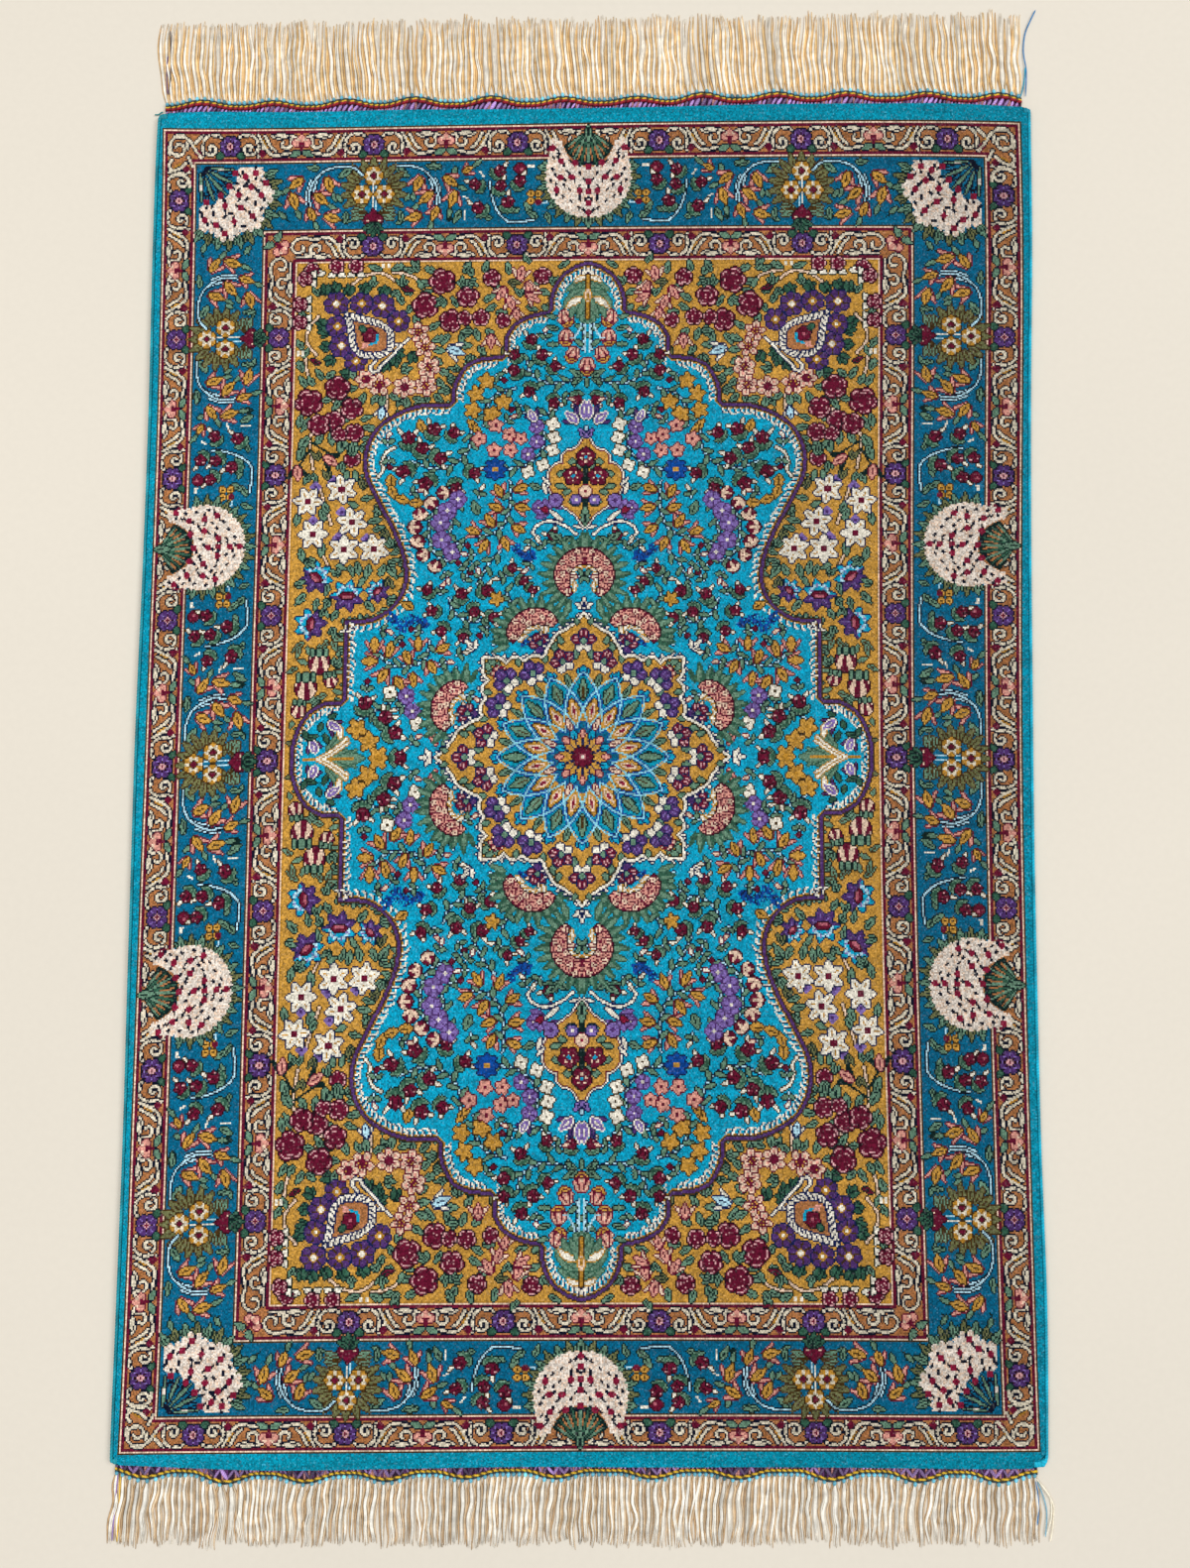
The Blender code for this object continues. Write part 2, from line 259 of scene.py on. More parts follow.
def rosette(x, y, radius, petals, dye, heart, ring=None, line=None, turn=0, depth=0.18, heart_size=0.3,
            seam=None):
    """A round flower: its edge swells once a petal, round a ring and a heart."""
    w = Window(x, y, turn, radius + 3)
    bloom = w.far < radius * (1 - depth + depth * abs(cos(petals * w.angle / 2)) ** 0.6)
    lay(w, bloom, dye, line)
    if seam:
        part = abs(mod(w.angle * petals / (2 * pi), 1) - 0.5) * 2 * pi / petals
        lay(w, bloom & (w.far * sin(part) < 0.55) & (w.far > radius * 0.3), seam)
    if ring:
        lay(w, w.far < radius * heart_size + 1.1, ring)
    lay(w, w.far < max(radius * heart_size, 0.8), heart)


def tulip(x, y, turn, size, dye="gold", outer="pink", edge="maroon", vein="olive"):
    """A lily head: a pointed body between two outer petals that bow back from its foot."""
    w = Window(x, y, turn, size + 3)
    a, side = w.a / size, abs(w.b / size)
    bow = 0.12 + 0.72 * clip(a + 0.36, 0, 1) ** 1.4
    wide = 0.12 * sin(pi * clip((a + 0.46) / 0.86, 0, 1)) ** 0.6
    lay(w, (abs(side - bow) < wide) & (a > -0.42) & (a < 0.36), outer, edge)
    long = clip((a + 0.42) / 1.04, 0, 1)
    body = (long > 0) & (long < 1) & (side < 0.23 * sin(pi * long**0.85))
    lay(w, body, dye, vein)
    lay(w, body & (side < 0.045) & (a > -0.15) & (a < 0.3), vein)


def carnation(x, y, turn, size, dye="maroon", calyx="sage", loose=((-44, 0.42), (42, 0.4))):
    """A round crown that sits in a hand of ragged green fingers, with loose ivory petals past it."""
    w = Window(x, y, turn, size + 5)
    a, b = w.a / size, w.b / size
    hand, ribs = zeros(a.shape, bool), zeros(a.shape, bool)
    for d, reach, wide in ((50, 0.62, 0.12), (-50, 0.62, 0.12), (24, 0.66, 0.14), (-24, 0.66, 0.14)):
        p, q = askew(a, b, d, 0.5)
        t = clip(p / reach, 0, 1)
        room = (p > 0) & (p < reach)
        hand |= room & (abs(q) < wide * sin(pi * t**0.9) * (1.15 - 0.5 * mod(4 * t, 1)) + 0.02)
        ribs |= room & (abs(q) < 0.045) & (t < 0.7)
    lay(w, hand, calyx, "bottle")
    lay(w, ribs, "leaf")
    for d, far in loose:
        leaf(*off(x, y, turn + d, size * far), turn + 0.8 * d, 0.4 * size, "ivory", "olive", 0.36)
    crown = hypot(a - 0.16, b) < 0.27 + 0.07 * abs(cos(2.5 * arctan2(b, a - 0.16)))
    lay(w, crown, dye, "wine")
    lay(w, crown & (abs(abs(b) - 0.12 - 0.25 * abs(a - 0.16)) < 0.04) & (a > 0), "wine")
    lay(w, (hypot(a - 0.34, b - 0.14) < 0.06) | (hypot(a - 0.14, b + 0.24) < 0.05), "petal")


def bell(x, y, turn, size):
    """A hanging bell: a pink hood with dark lines over a round golden cup."""
    w = Window(x, y, turn, size + 3)
    a, b = w.a / size, w.b / size
    hood = (hypot(a + 0.2, b) < 0.36) | (hypot(a + 0.02, abs(b) - 0.24) < 0.2)
    pleat = abs(sin(5.5 * arctan2(b, a + 0.75)))
    lay(w, hypot(a - 0.16, b) < 0.38, "gold", "maroon")
    lay(w, abs(hypot(a - 0.2, b) - 0.2) < 0.045, "maroon")
    lay(w, hood, "pink", "maroon")
    lay(w, hood & (pleat > 0.88), "maroon")
    lay(w, hood & (pleat < 0.3), "blush")


def berry(x, y, turn, size):
    """A small bare bud with a loose petal past its tip."""
    w = Window(x, y, turn, size + 4)
    a, b = w.a / size, w.b / size
    lay(w, a**2 + (b * 1.1) ** 2 < 0.45**2, "maroon", "wine")
    lay(w, hypot(a - 0.1, b - 0.1) < 0.12, "rose")
    lay(w, (abs(a - 0.9) < 0.25) & (abs(b) < 0.13), "ivory")


def rose(x, y, size, turn=0):
    """A full rose: five outer petals with pale rims, round a pale line that winds to the middle."""
    w = Window(x, y, turn, size + 3)
    lobe = abs(cos(2.5 * w.angle))
    edge = size * (0.84 + 0.16 * lobe)
    lay(w, w.far < edge, "maroon", "wine")
    rim = (abs(w.far - 0.86 * edge) < 0.42) & (lobe > 0.5)
    wind = mod(w.far / size * 2.6 - w.angle / (2 * pi), 1)
    coil = (wind < 1.3 / size) & (w.far < 0.62 * size) & (cos(3 * w.angle + 5 * w.far / size) > -0.1)
    lay(w, rim | coil, "petal")
    lay(w, (lobe < 0.2) & (w.far > 0.6 * size) & (w.far < edge), "wine")


def peony(x, y, turn, size):
    """A hanging striped head: pale petal stripes that fan from its foot, under a green cap."""
    w = Window(x, y, turn, size + 4)
    a, b = w.a / size, w.b / size
    head = (a > -0.5) & (a**2 + (b / 0.85) ** 2 < 0.62**2)
    lay(w, head, "maroon", "wine")
    lay(w, head & (abs(sin(6.5 * arctan2(b, a + 0.9) + 0.4)) > 0.72) & (a > -0.3), "blush")
    lay(w, (a < -0.3) & (a > -0.72) & (abs(b) < 0.3 + 0.25 * cos(16 * b)), "sage", "bottle")


def daisy(x, y, radius, turn=0, petal="ivory", heart="maroon", line="navy", vein="ochre", petals=6,
          slim=0.62):
    """A daisy: pointed petals apart from each other, each with a vein, round a heart."""
    w = Window(x, y, turn, radius + 3)
    phase = abs(mod(w.angle * petals / (2 * pi) + 0.5, 1) - 0.5) * 2
    t = clip(w.far / radius, 0, 1)
    wide = slim * sin(pi * clip(t, 0.12, 1)) ** 0.7 / np.maximum(t * 1.15, 0.35)
    bloom = (t < 1) & (phase < wide) & (t > 0.1)
    lay(w, bloom, petal, line)
    if vein:
        lay(w, bloom & (phase * t < 0.07) & (t > 0.35) & (t < 0.75), vein)
    lay(w, w.far < 0.24 * radius, heart)


def round_petals(x, y, radius, petals, turn):
    """A window on a small flower, with how far along and how far beside its nearest petal knots lie."""
    w = Window(x, y, turn, radius + 3)
    k = np.round(w.angle * petals / (2 * pi)) * 2 * pi / petals
    return w, w.far * cos(w.angle - k), w.far * sin(w.angle - k)


def cross_flower(x, y, radius, dye, heart="maroon", line="bottle", petals=5, turn=0):
    """A small flower of round petals about a dot."""
    w, along, aside = round_petals(x, y, radius, petals, turn)
    lay(w, hypot(along - 0.58 * radius, aside) < 0.46 * radius, dye, line)
    lay(w, w.far < max(0.22 * radius, 0.8), heart)


def blossom(x, y, radius, petals=5, turn=0):
    """A pink blossom: round petals apart from each other, pale at the rim, about a dark heart."""
    w, along, aside = round_petals(x, y, radius, petals, turn)
    aside = abs(aside)
    lay(w, hypot((along - 0.64 * radius) / 1.1, aside) < 0.27 * radius, "blush", "maroon")
    lay(w, hypot(along - 0.6 * radius, aside) < 0.15 * radius, "pink")
    lay(w, (w.far < 0.2 * radius) | ((aside < 0.5) & (along < 0.5 * radius) & (along > 0)), "maroon")


def pansy(x, y, turn, radius, dye="purple", pale="ivory"):
    """A pansy: three dark petals over two long pale ones, round a green heart."""
    w = Window(x, y, turn, radius + 3)
    for e, tint in ((146, pale), (-146, pale), (74, dye), (-74, dye), (0, dye)):
        p, q = askew(w.a, w.b, e)
        lay(w, hypot((p - 0.6 * radius) / 1.15, q) < (0.36 if tint == pale else 0.42) * radius, tint, "navy")
        if tint == dye:
            shine = (abs(abs(q) - 0.16 * radius) < 0.5) & (abs(p - 0.72 * radius) < 0.2 * radius)
            lay(w, shine, "lilac" if dye == "purple" else "petal")
    lay(w, w.far < 0.24 * radius, "sage", "navy")


def bud(x, y, turn, size):
    """A half open bud: three pale petals on a dark round."""
    w = Window(x, y, turn, size + 3)
    lay(w, w.far < 0.72 * size, "maroon", "wine")
    for d in (-52, 0, 52):
        p, q = askew(w.a, w.b, d, 0.6 * size)
        t = clip(p / (1.25 * size), 0, 1)
        lay(w, (p > 0) & (t < 1) & (abs(q) < 0.21 * size * sin(pi * t)) & (w.far < 0.8 * size), "blush")


def fern(x, y, turn, length):
    """A feathery spray: a short stem with strokes to both sides."""
    for n in range(int(length / 2)):
        foot = off(x, y, turn, 2 * n)
        for side in (-1, 1):
            fleck(*off(*foot, turn + degrees(1.2), side * 1.6), turn + side * 52,
                  5.2 - 3 * n * 2 / length, "cobalt" if (n + side) % 3 else "navy", 1.3)


def smooth(points, step=0.5):
    """Points close together along a Catmull-Rom curve through the given ones."""
    p = array(points, float)
    if len(p) == 2:
        n = max(int(hypot(*(p[1] - p[0])) / step), 2)
        return p[0] + (p[1] - p[0]) * linspace(0, 1, n)[:, None]
    ends = vstack([2 * p[0] - p[1], p, 2 * p[-1] - p[-2]])
    a, b, c, d = ends[:-3], ends[1:-2], ends[2:-1], ends[3:]
    n = max(int(hypot(*(c - b).T).max() / step), 2)
    t = linspace(0, 1, n, endpoint=False)[None, :, None]
    a, b, c, d = (q[:, None, :] for q in (a, b, c, d))
    curve = 0.5 * (2 * b + (c - a) * t + (2 * a - 5 * b + 4 * c - d) * t**2 + (3 * b - a - 3 * c + d) * t**3)
    return vstack([curve.reshape(-1, 2), p[-1:]])


def broad(points, half=0.72):
    """The knots whose middles lie within a short way of a curve."""
    mask = zeros((ROWS, COLUMNS), bool)
    p = np.asarray(points, float)
    c, r = p.astype(int).T
    for i in (-1, 0, 1):
        for j in (-1, 0, 1):
            near = hypot(c + i + 0.5 - p[:, 0], r + j + 0.5 - p[:, 1]) < half
            keep = near & (c + i >= 0) & (c + i < COLUMNS) & (r + j >= 0) & (r + j < ROWS)
            mask[r[keep] + j, c[keep] + i] = True
    return mask


def along_curve(points):
    """The knots that a curve passes through."""
    mask = zeros((ROWS, COLUMNS), bool)
    p = np.asarray(points)
    c, r = p.astype(int).T
    keep = (c < COLUMNS) & (r < ROWS) & (p.min(1) >= 0)
    mask[r[keep], c[keep]] = True
    return mask


def stem(points, dye, line=None, thick=False):
    """A line one knot wide, or two, through the points."""
    tie((broad if thick else along_curve)(smooth(points)), dye, line)


def inside(points):
    """The knots inside a closed curve, by counting the edges that each row crosses."""
    odd = zeros((ROWS, COLUMNS), bool)
    x, y = ACROSS[0], ALONG[:, 0]
    p = np.asarray(points, float)
    for (x0, y0), (x1, y1) in zip(p, np.roll(p, -1, axis=0)):
        rows = (y >= min(y0, y1)) & (y < max(y0, y1))
        if rows.any():
            odd[rows] ^= x[None] < (x0 + (y[rows] - y0) * (x1 - x0) / (y1 - y0))[:, None]
    return odd


def along_edge(line, pitch):
    """Places every so far along a line, and the directions in which it runs."""
    d = hypot(*np.diff(line, axis=0).T)
    s = concatenate([[0], np.cumsum(d)])
    keep = concatenate([[True], d > 0])
    s, line = s[keep], line[keep]
    at = arange(pitch / 2, s[-1], pitch)
    x, y = (interp(at, s, line[:, k]) for k in (0, 1))
    dx, dy = interp(at + 0.8, s, line[:, 0]) - x, interp(at + 0.8, s, line[:, 1]) - y
    return stack([x, y, degrees(arctan2(dy, dx))], 1)


def scalloped(points, pitch=4.3, radius=2.3):
    """The knots inside a closed curve with small round lobes all along it."""
    mask = inside(points)
    for x, y, _ in along_edge(points, pitch):
        w = Window(x, y, 0, radius + 1)
        mask[w.part] |= w.far < radius
    return mask


def mirrored(points):
    """The same points about the diagonal."""
    return tuple((y, x) for x, y in reversed(points))


def outline(arcs):
    """One run of points through arcs that meet in corners."""
    return vstack([smooth(arc) for arc in arcs])


# ---- the bands, the guards and the main border

CELL = 48.75          # half a guard repeat
RINGS = ((-1, "olive"), (-2, "blush"), (-4, "maroon"), (-21, "tan"), (-23, "maroon"), (-24, "blush"),
         (-25, "olive"), (-71, "border_blue"), (-72, "olive"), (-73, "blush"), (-75, "maroon"),
         (-92, "tan"), (-94, "maroon"), (-95, "blush"), (-96, "ochre"), (-500, "gold"))


def bands():
    """Lays the plain bands: each frame of lines and grounds from the edge in to the gold ground."""
    out = np.maximum(abs(ACROSS) - 292, abs(ALONG) - 440)      # distance outside the outer line
    CHART[:] = NUMBER["sea"]
    start = 0.0
    for end, dye in RINGS:
        tie((out <= start) & (out > end), dye)
        start = end


# Lines of the guard repeat: distance from the rosette, distance across towards the tulips' tips
SCROLLS = (((6.4, 6.4), (10, 8), (14.6, 7.6), (18.4, 4), (19, -0.6), (17.2, -4.6), (13.6, -6), (10.6, -4.6),
    (10, -1.4), (12.2, 0.8), (14.6, -0.4), (13.8, -2.4)), ((19.4, 7.6), (22, 2.8), (25.4, -3), (28.6, -6),
    (34, -6.8), (38.6, -6.4), (42, -5)), ((24, 6.8), (26.4, 2.4), (29, -1.6), (31.4, -3.2)),
    ((45, 5.4), (41, 7), (37, 6.2), (33, 5.4), (29, 7)), ((41.4, 5), (41.8, 0.6), (38.4, -1.8), (35.2, 0.2),
    (36.2, 3)), ((19.4, -7.2), (22.4, -2.4), (23.4, 2)))
# The leaves on those lines: the same two distances, direction, length
SCROLL_LEAVES = ((40, 6.8, 176, 9.5), (35, -6.2, 14, 7), (19.6, 1.6, 262, 7), (13.4, 7.8, 178, 6))
# The guards: their middle line, the way out of the flowers' tips, whether they run up the rug, cells,
# and the first rosette
GUARDS = ((427.5, 1, False, 5, 1), (279.5, 1, True, 8, 0), (356.5, -1, False, 4, 1), (208.5, -1, True, 7, 0))
CORNER_CURLS = (((264, 420), (268, 425), (272, 431), (277, 434), (283, 433.4), (286.4, 429), (285.4, 423.6),
    (281, 421), (276.8, 423), (276.6, 427.4), (280, 429.4), (282.6, 427)), ((275, 416), (279, 412.4),
    (285, 411), (287, 415), (285, 418)), ((284, 407), (279, 408), (273, 405), (272, 400)),
    ((264, 434), (268, 430)), ((273, 420), (270, 414)))
FLOWER_CURLS = (((187, 361.6), (193, 363), (199, 360.6), (200.6, 355.6), (197, 352.4), (193, 354.2),
    (193.6, 357.6)), ((186, 352), (190, 349.6), (197, 349.4)))
GUARD_CURLS = (CORNER_CURLS + tuple(tuple((y - 148, x + 148) for x, y in curl) for curl in FLOWER_CURLS)
               + FLOWER_CURLS)


def place(run, s, t):
    """Where a point of the repeat lies on the rug, for one run of a border."""
    s0, way, t0, tway, upright = run
    p, q = s0 + way * np.asarray(s, float), t0 + tway * np.asarray(t, float)
    return (q, p) if upright else (p, q)


def turned(run, turn):
    """The direction on the rug of a direction in the repeat."""
    d = radians(turn)
    q = array(place(run, cos(d), sin(d))) - array(place(run, 0, 0))
    return float(degrees(arctan2(q[1], q[0])))


def in_run(run, make, s, t, turn, *rest, **more):
    """Makes a motif at a point of the repeat, in a direction of the repeat."""
    make(*place(run, s, t), turned(run, turn), *rest, **more)


def pink_flower(x, y, turn):
    """A pink flower with a maroon throat between two leaves, as it stands in the guards."""
    w = Window(x, y, turn, 9)
    for side in (-1, 1):
        leaf(*off(x, y, turn, -5.5, 0.8 * side), turn + 112 * side, 7.5, "sage", "ink", 0.6)
    side = abs(w.b)
    petals = ((hypot(w.a - 1.4, side) < 3.6) | (hypot(w.a - 0.4, side - 3.4) < 2.4)
              | (side + abs(w.a - 4.4) < 2))
    lay(w, petals, "pink", "maroon")
    lay(w, petals & (hypot(w.a - 2.8, side - 2.6) < 1.2), "blush")
    lay(w, (side < 1.1 + 0.25 * (w.a + 4)) & (w.a < 0.6) & (w.a > -4.6), "maroon")


def scrolls(lines, room=True):
    """Lays cream lines, edged in ink on the tan ground, where there is room."""
    CHART[grown(lines) & room & (CHART == NUMBER["tan"])] = NUMBER["ink"]
    tie(lines & room, "cream")


def guard(t0, tway, upright, cells, first):
    """One straight run of a guard: rosettes and tulips in turn, with scrolls between them."""
    turn = (0 if tway > 0 else 180) if upright else 90 * tway
    outer = t0 in (427.5, 279.5)
    lines = zeros((ROWS, COLUMNS), bool)
    for k in range(first, cells + 1, 2):
        for way in (-1, 1):
            for points in SCROLLS:
                lines |= broad(stack(place((CELL * k, way, t0, tway, upright), *smooth(points).T), 1), 0.86)
    near = abs((ACROSS if upright else ALONG) - t0) < 9.5
    if outer:
        near &= (ALONG < 412) if upright else (ACROSS < 263)
    scrolls(lines, near)
    for k in range(cells + 1):
        x, y = place((CELL * k, 1, t0, tway, upright), 0, 0)
        if outer and (y > 412 if upright else x > 262):
            continue
        if k % 2 == first:
            for way in (-1, 1):
                run = (CELL * k, way, t0, tway, upright)
                in_run(run, leaf, 4.5, -4.5, -38, 6.5, "leaf", "bottle", 0.6)
                w = Window(*place(run, 22, -5.2), 0, 4)
                lay(w, abs(w.a) + abs(w.b) < 3.2, "maroon")
                stem([place(run, 22.6, 4), place(run, 25.4, -1)], "ochre")
                for row in SCROLL_LEAVES:
                    in_run(run, leaf, *row, "cream", "ink", 0.3)
            rosette(x, y, 7.2, 8, "purple", "maroon", "petal", "ink", turn + 22.5, 0.2, 0.15, "wine")
            w = Window(x, y, turn, 8)
            lay(w, (abs(w.far - 5) < 0.9) & (cos(8 * w.angle) > 0.6), "lilac")
        elif outer or k != cells:
            pink_flower(*place((CELL * k, 1, t0, tway, upright), 0, 1.5), turn)


def guard_corners():
    """The single curl in the outer guard's corner, and the pink flower in the inner guard's."""
    lines = zeros((ROWS, COLUMNS), bool)
    for points in GUARD_CURLS:
        lines |= broad(smooth(points), 0.86)
    scrolls(lines)
    pink_flower(208.3, 356.3, 225)


# The main border's half repeat: distance from the fan's middle, distance across (outwards), direction,
# length
BORDER_TULIPS = ((83, 17, 150, 8), (95, 10, 215, 11), (92.5, -2, 285, 12), (116, 9, 290, 11.5),
    (110, -1, 320, 12), (104.5, -12, 290, 10), (118, -15, 345, 11.5))
BORDER_CARNATIONS = ((62, 15, 140, 11), (48, 7.5, 125, 11), (61, 4, 120, 11), (76, 6, 30, 11),
    (55.5, -7.5, 100, 12), (74, -10.5, 40, 12))
BORDER_LEAVES = ((29, -13, 250, 8), (35, -17, 35, 9), (39, -13, 55, 9), (87, -11, 300, 10),
    (95, -13, 270, 6, "bottle"), (101, 19, 10, 10), (90, 19, 300, 6), (52, -13, 150, 6), (66, -17, 20, 8))
CLUSTER_LEAVES = ((128, -11, 265, 8), (131, 19, 215, 11), (122, 1, 300, 6), (110, 19.5, 175, 9))
BORDER_STEMS = (((67.5, 8), (66.5, 0), (64, -8), (60, -15), (54, -19.5), (46, -19.5), (37, -18)), ((139, 14),
    (133, 19.4), (122, 20.4), (112, 17), (107.4, 9), (106, 1)), ((101, -6), (101.4, 3), (104, 11)),
    ((104, -8), (103, 2), (105.6, 9.5), (110, 15.4)))
CLUSTER = ((146.25, 14), (139, 1), (154, 1))
# The white fan: its dots and stitches, and half of its outline; then the dots of the corner's flower
CAP_DOTS = ((-25.4, 0), (-19, 0), (-11, 0), (-4, 0), (-10.5, 6.2), (-10.5, -6.2), (-1, 11.4), (-1, -11.4),
    (-1, 19.6), (-1, -19.6), (-9.4, 22), (-9.4, -22), (10, 18.8), (10, -18.8), (8.6, 9.4), (8.6, -9.4),
    (6, 0), (19.4, 24.6), (19.4, -24.6))
CAP_FLECKS = ((-22, 6.6), (-17.4, 12.2), (-14, 17.6), (-16.4, 5.8), (-9.4, 13.2), (-6.4, 16.8), (1.8, 6),
    (-3.2, 26), (5, 24.8), (12.6, 24.2), (3.2, 14.8), (15.4, 20.4))
DOME = ((-27.4, 0), (-25.8, 9), (-21.4, 17.2), (-14, 23.6), (-5.6, 26.9), (1, 27.4), (8, 26.2), (14, 25.2),
    (19, 25), (23.4, 24), (23.2, 21.6), (18.8, 17), (13, 13.8), (8.6, 10.6), (6.6, 5.2), (6, 0))
DOME_MOUTH = ((6, 0), (6.6, 5.2), (8.6, 10.6), (13, 13.8), (18.8, 17), (22, 18.4), (24, 12), (30, 4),
    (33, 0.4))
CORNER_DOTS = ((240, 409), (233, 406.5), (226, 409), (229, 399.5), (222, 393.5), (237.5, 394), (244, 400),
    (250, 393.5), (247, 386.5), (236, 385), (228, 379), (240.5, 375.5), (253, 373), (261, 376.5), (260, 389),
    (219, 402), (247, 367))
CORNER_FLECKS = ((233, 400), (226, 388), (232, 391), (243, 381), (247, 379), (255, 381), (234, 372),
    (256, 386), (239, 402), (222, 384), (264, 382))


def petalled(mask):
    """Crumpled petals: a pale ground crossed by crooked blush creases."""
    shade = (sin(1.9 * ACROSS + 1.9 * sin(1.3 * ALONG)) + sin(1.7 * ALONG + 1.9 * sin(1.45 * ACROSS)))
    tie(mask, "shell")
    tie(mask & (abs(shade - 0.2) < 0.32), "blush")


def heart_dot(x, y, n):
    """A crimson dot with two navy stitches about it."""
    for d in (25, 205):
        d += 30 * (n % 3)
        fleck(*off(x, y, d, 3.3), d + 25, 3.2, "ink", 1.7)
    dot(x, y, 2.2, "crimson")


def halo(x, y, turn, dye):
    """Two toothed leaflets from one foot, at the rim of a dome."""
    leaf(x, y, turn + 24, 7.4, dye, width=0.4)
    leaf(x, y, turn - 8, 10.4, dye, width=0.38)


def fan(x, y, turn):
    """The white flower dome: dotted, with two horns, open towards a hand of dark leaves."""
    spot = lambda a, b: off(x, y, turn, a, b)
    closed = lambda half: stack(spot(*vstack([half, half[::-1] * (1, -1)]).T), 1)
    for k in range(-8, 9):
        d = 180 + k * 12.5
        halo(*spot(*off(0, 0, d, 26)), turn + d + 12, "moss" if k % 2 else "sage")
    petalled(scalloped(closed(smooth(DOME))))
    mouth = inside(closed(array(DOME_MOUTH)))
    tie(mouth, "tan")
    w = Window(*spot(31.6, 0), turn + 180, 30)
    hand = zeros(CHART.shape, bool)
    hand[w.part] = (w.far < 25.4 - 6.5 * abs(sin(w.angle)) ** 1.5) & (abs(w.angle) < 1.02)
    tie(hand & mouth, "bottle")
    for k in range(-4, 5):
        d = 180 + 13 * k
        leaf(*spot(*off(31, 0, d, 5)), turn + d, (20.5, 20, 18, 16, 13.5)[abs(k)],
             "leaf" if k % 2 else "sage", None, 0.09)
        if k < 4:
            stem([spot(*off(31.6, 0, d + 6.5, far)) for far in (13, 22 - abs(k))], "tan")
    leaf(*spot(34, 0), turn + 180, 12, width=0.4)
    for a, b in CAP_FLECKS:
        for way in (-1, 1):
            fleck(*spot(a, way * b), turn + way * 40, 2.8, "ink", 1.8)
    for n, (a, b) in enumerate(CAP_DOTS):
        heart_dot(*spot(a, b), n)


def border_run(run, far_side=False, cluster=True):
    """One half repeat of the main border: from a fan, past sprays and tulips, to a cluster. Seen from
    its far side it has no fan, and the sprays there mirror the near ones."""
    flip = lambda s, t, d: (292.5 - s, t, 180 - d) if far_side else (s, t, d)
    at = lambda *row, **more: in_run(run, *row, **more)
    for points in BORDER_STEMS:
        s, t = smooth(points).T
        tie(along_curve(stack(place(run, flip(s, t, 0)[0], t), 1)), "sky", "ink")
    if not far_side:
        for row in BORDER_LEAVES:
            at(leaf, *row)
        stem([place(run, 84, -12), place(run, 84, -18)], "ivory")
        stem([place(run, 24, -4), place(run, 28, -6), place(run, 33, -6)], "sky")
        for i in (-1, 1):
            for j in (-1, 1):
                dot(*place(run, 37 + 2.6 * i, -2.5 + 2.6 * j), 2.2, "gold", "olive")
                dot(*place(run, 37 + 2.6 * i, -2.5 + 2.6 * j), 0.7, "olive")
        dot(*place(run, 34.5, -6), 2.3, "maroon")
        at(berry, 47, 17.5, 170, 8.5)
        for row in BORDER_CARNATIONS:
            at(carnation, *row, loose=((-6, 0.5),))
        at(fleck, 73, 14, 60, 5, "ivory")
        at(fleck, 84, -2, 20, 5, "ivory")
        fleck(*place(run, 107, -21), 0, 5, "ivory", 2.6)
    for *row, n in BORDER_TULIPS[far_side:]:
        s, t, d = flip(*row)
        leaf(*place(run, *off(s, t, d, 0.62 * n)), turned(run, d - 8), 7, width=0.4)
        at(tulip, s, t, d, n)
    for *row, n in CLUSTER_LEAVES:
        at(leaf, *flip(*row), n, width=0.4)
    if not cluster:
        return
    for d in (*range(-30, 211, 20), 232, 308):
        at(leaf, *off(146.25, 4, d, 11 if d < 220 else 8), d, 12 if d % 40 else 10, "moss", "olive")
    for d in (150, 165, 180, 195, 30, 15, 0, -15):
        at(leaf, 146.25 + 4 * cos(radians(d)), -13.5, d, 11, "sage", "olive", 0.35)
    for s, dye in ((146.9, "ivory"), (144.4, "sky")):
        stem([place(run, s, 12), place(run, s, -10)], dye)
    for s, t in CLUSTER:
        x, y = place(run, s, t)
        rosette(x, y, 6.6, 6, "ochre", "maroon", None, "olive", turned(run, 120), 0.3)
        daisy(x, y, 6.2, turned(run, 90), "cream", "maroon", None, None, 6, 0.5)
        dot(x, y, 1.7, "maroon", "olive")
    w = Window(*place(run, 146.25, -15.5), turned(run, 90), 12)
    side = abs(w.b)
    heart = (hypot(w.a + 1.5, side - 2.6) < 3.9) | ((w.a > -1) & (w.a < 6.5) & (side < (6.5 - w.a) * 0.72))
    lay(w, heart, "maroon", "wine")
    lay(w, hypot(w.a + 2, side - 4) < 1.0, "blush")
    for d in (215, 245, 270, 295, 325):
        at(leaf, 146.25, -19, d, 8.5 if d != 270 else 10, "leaf")


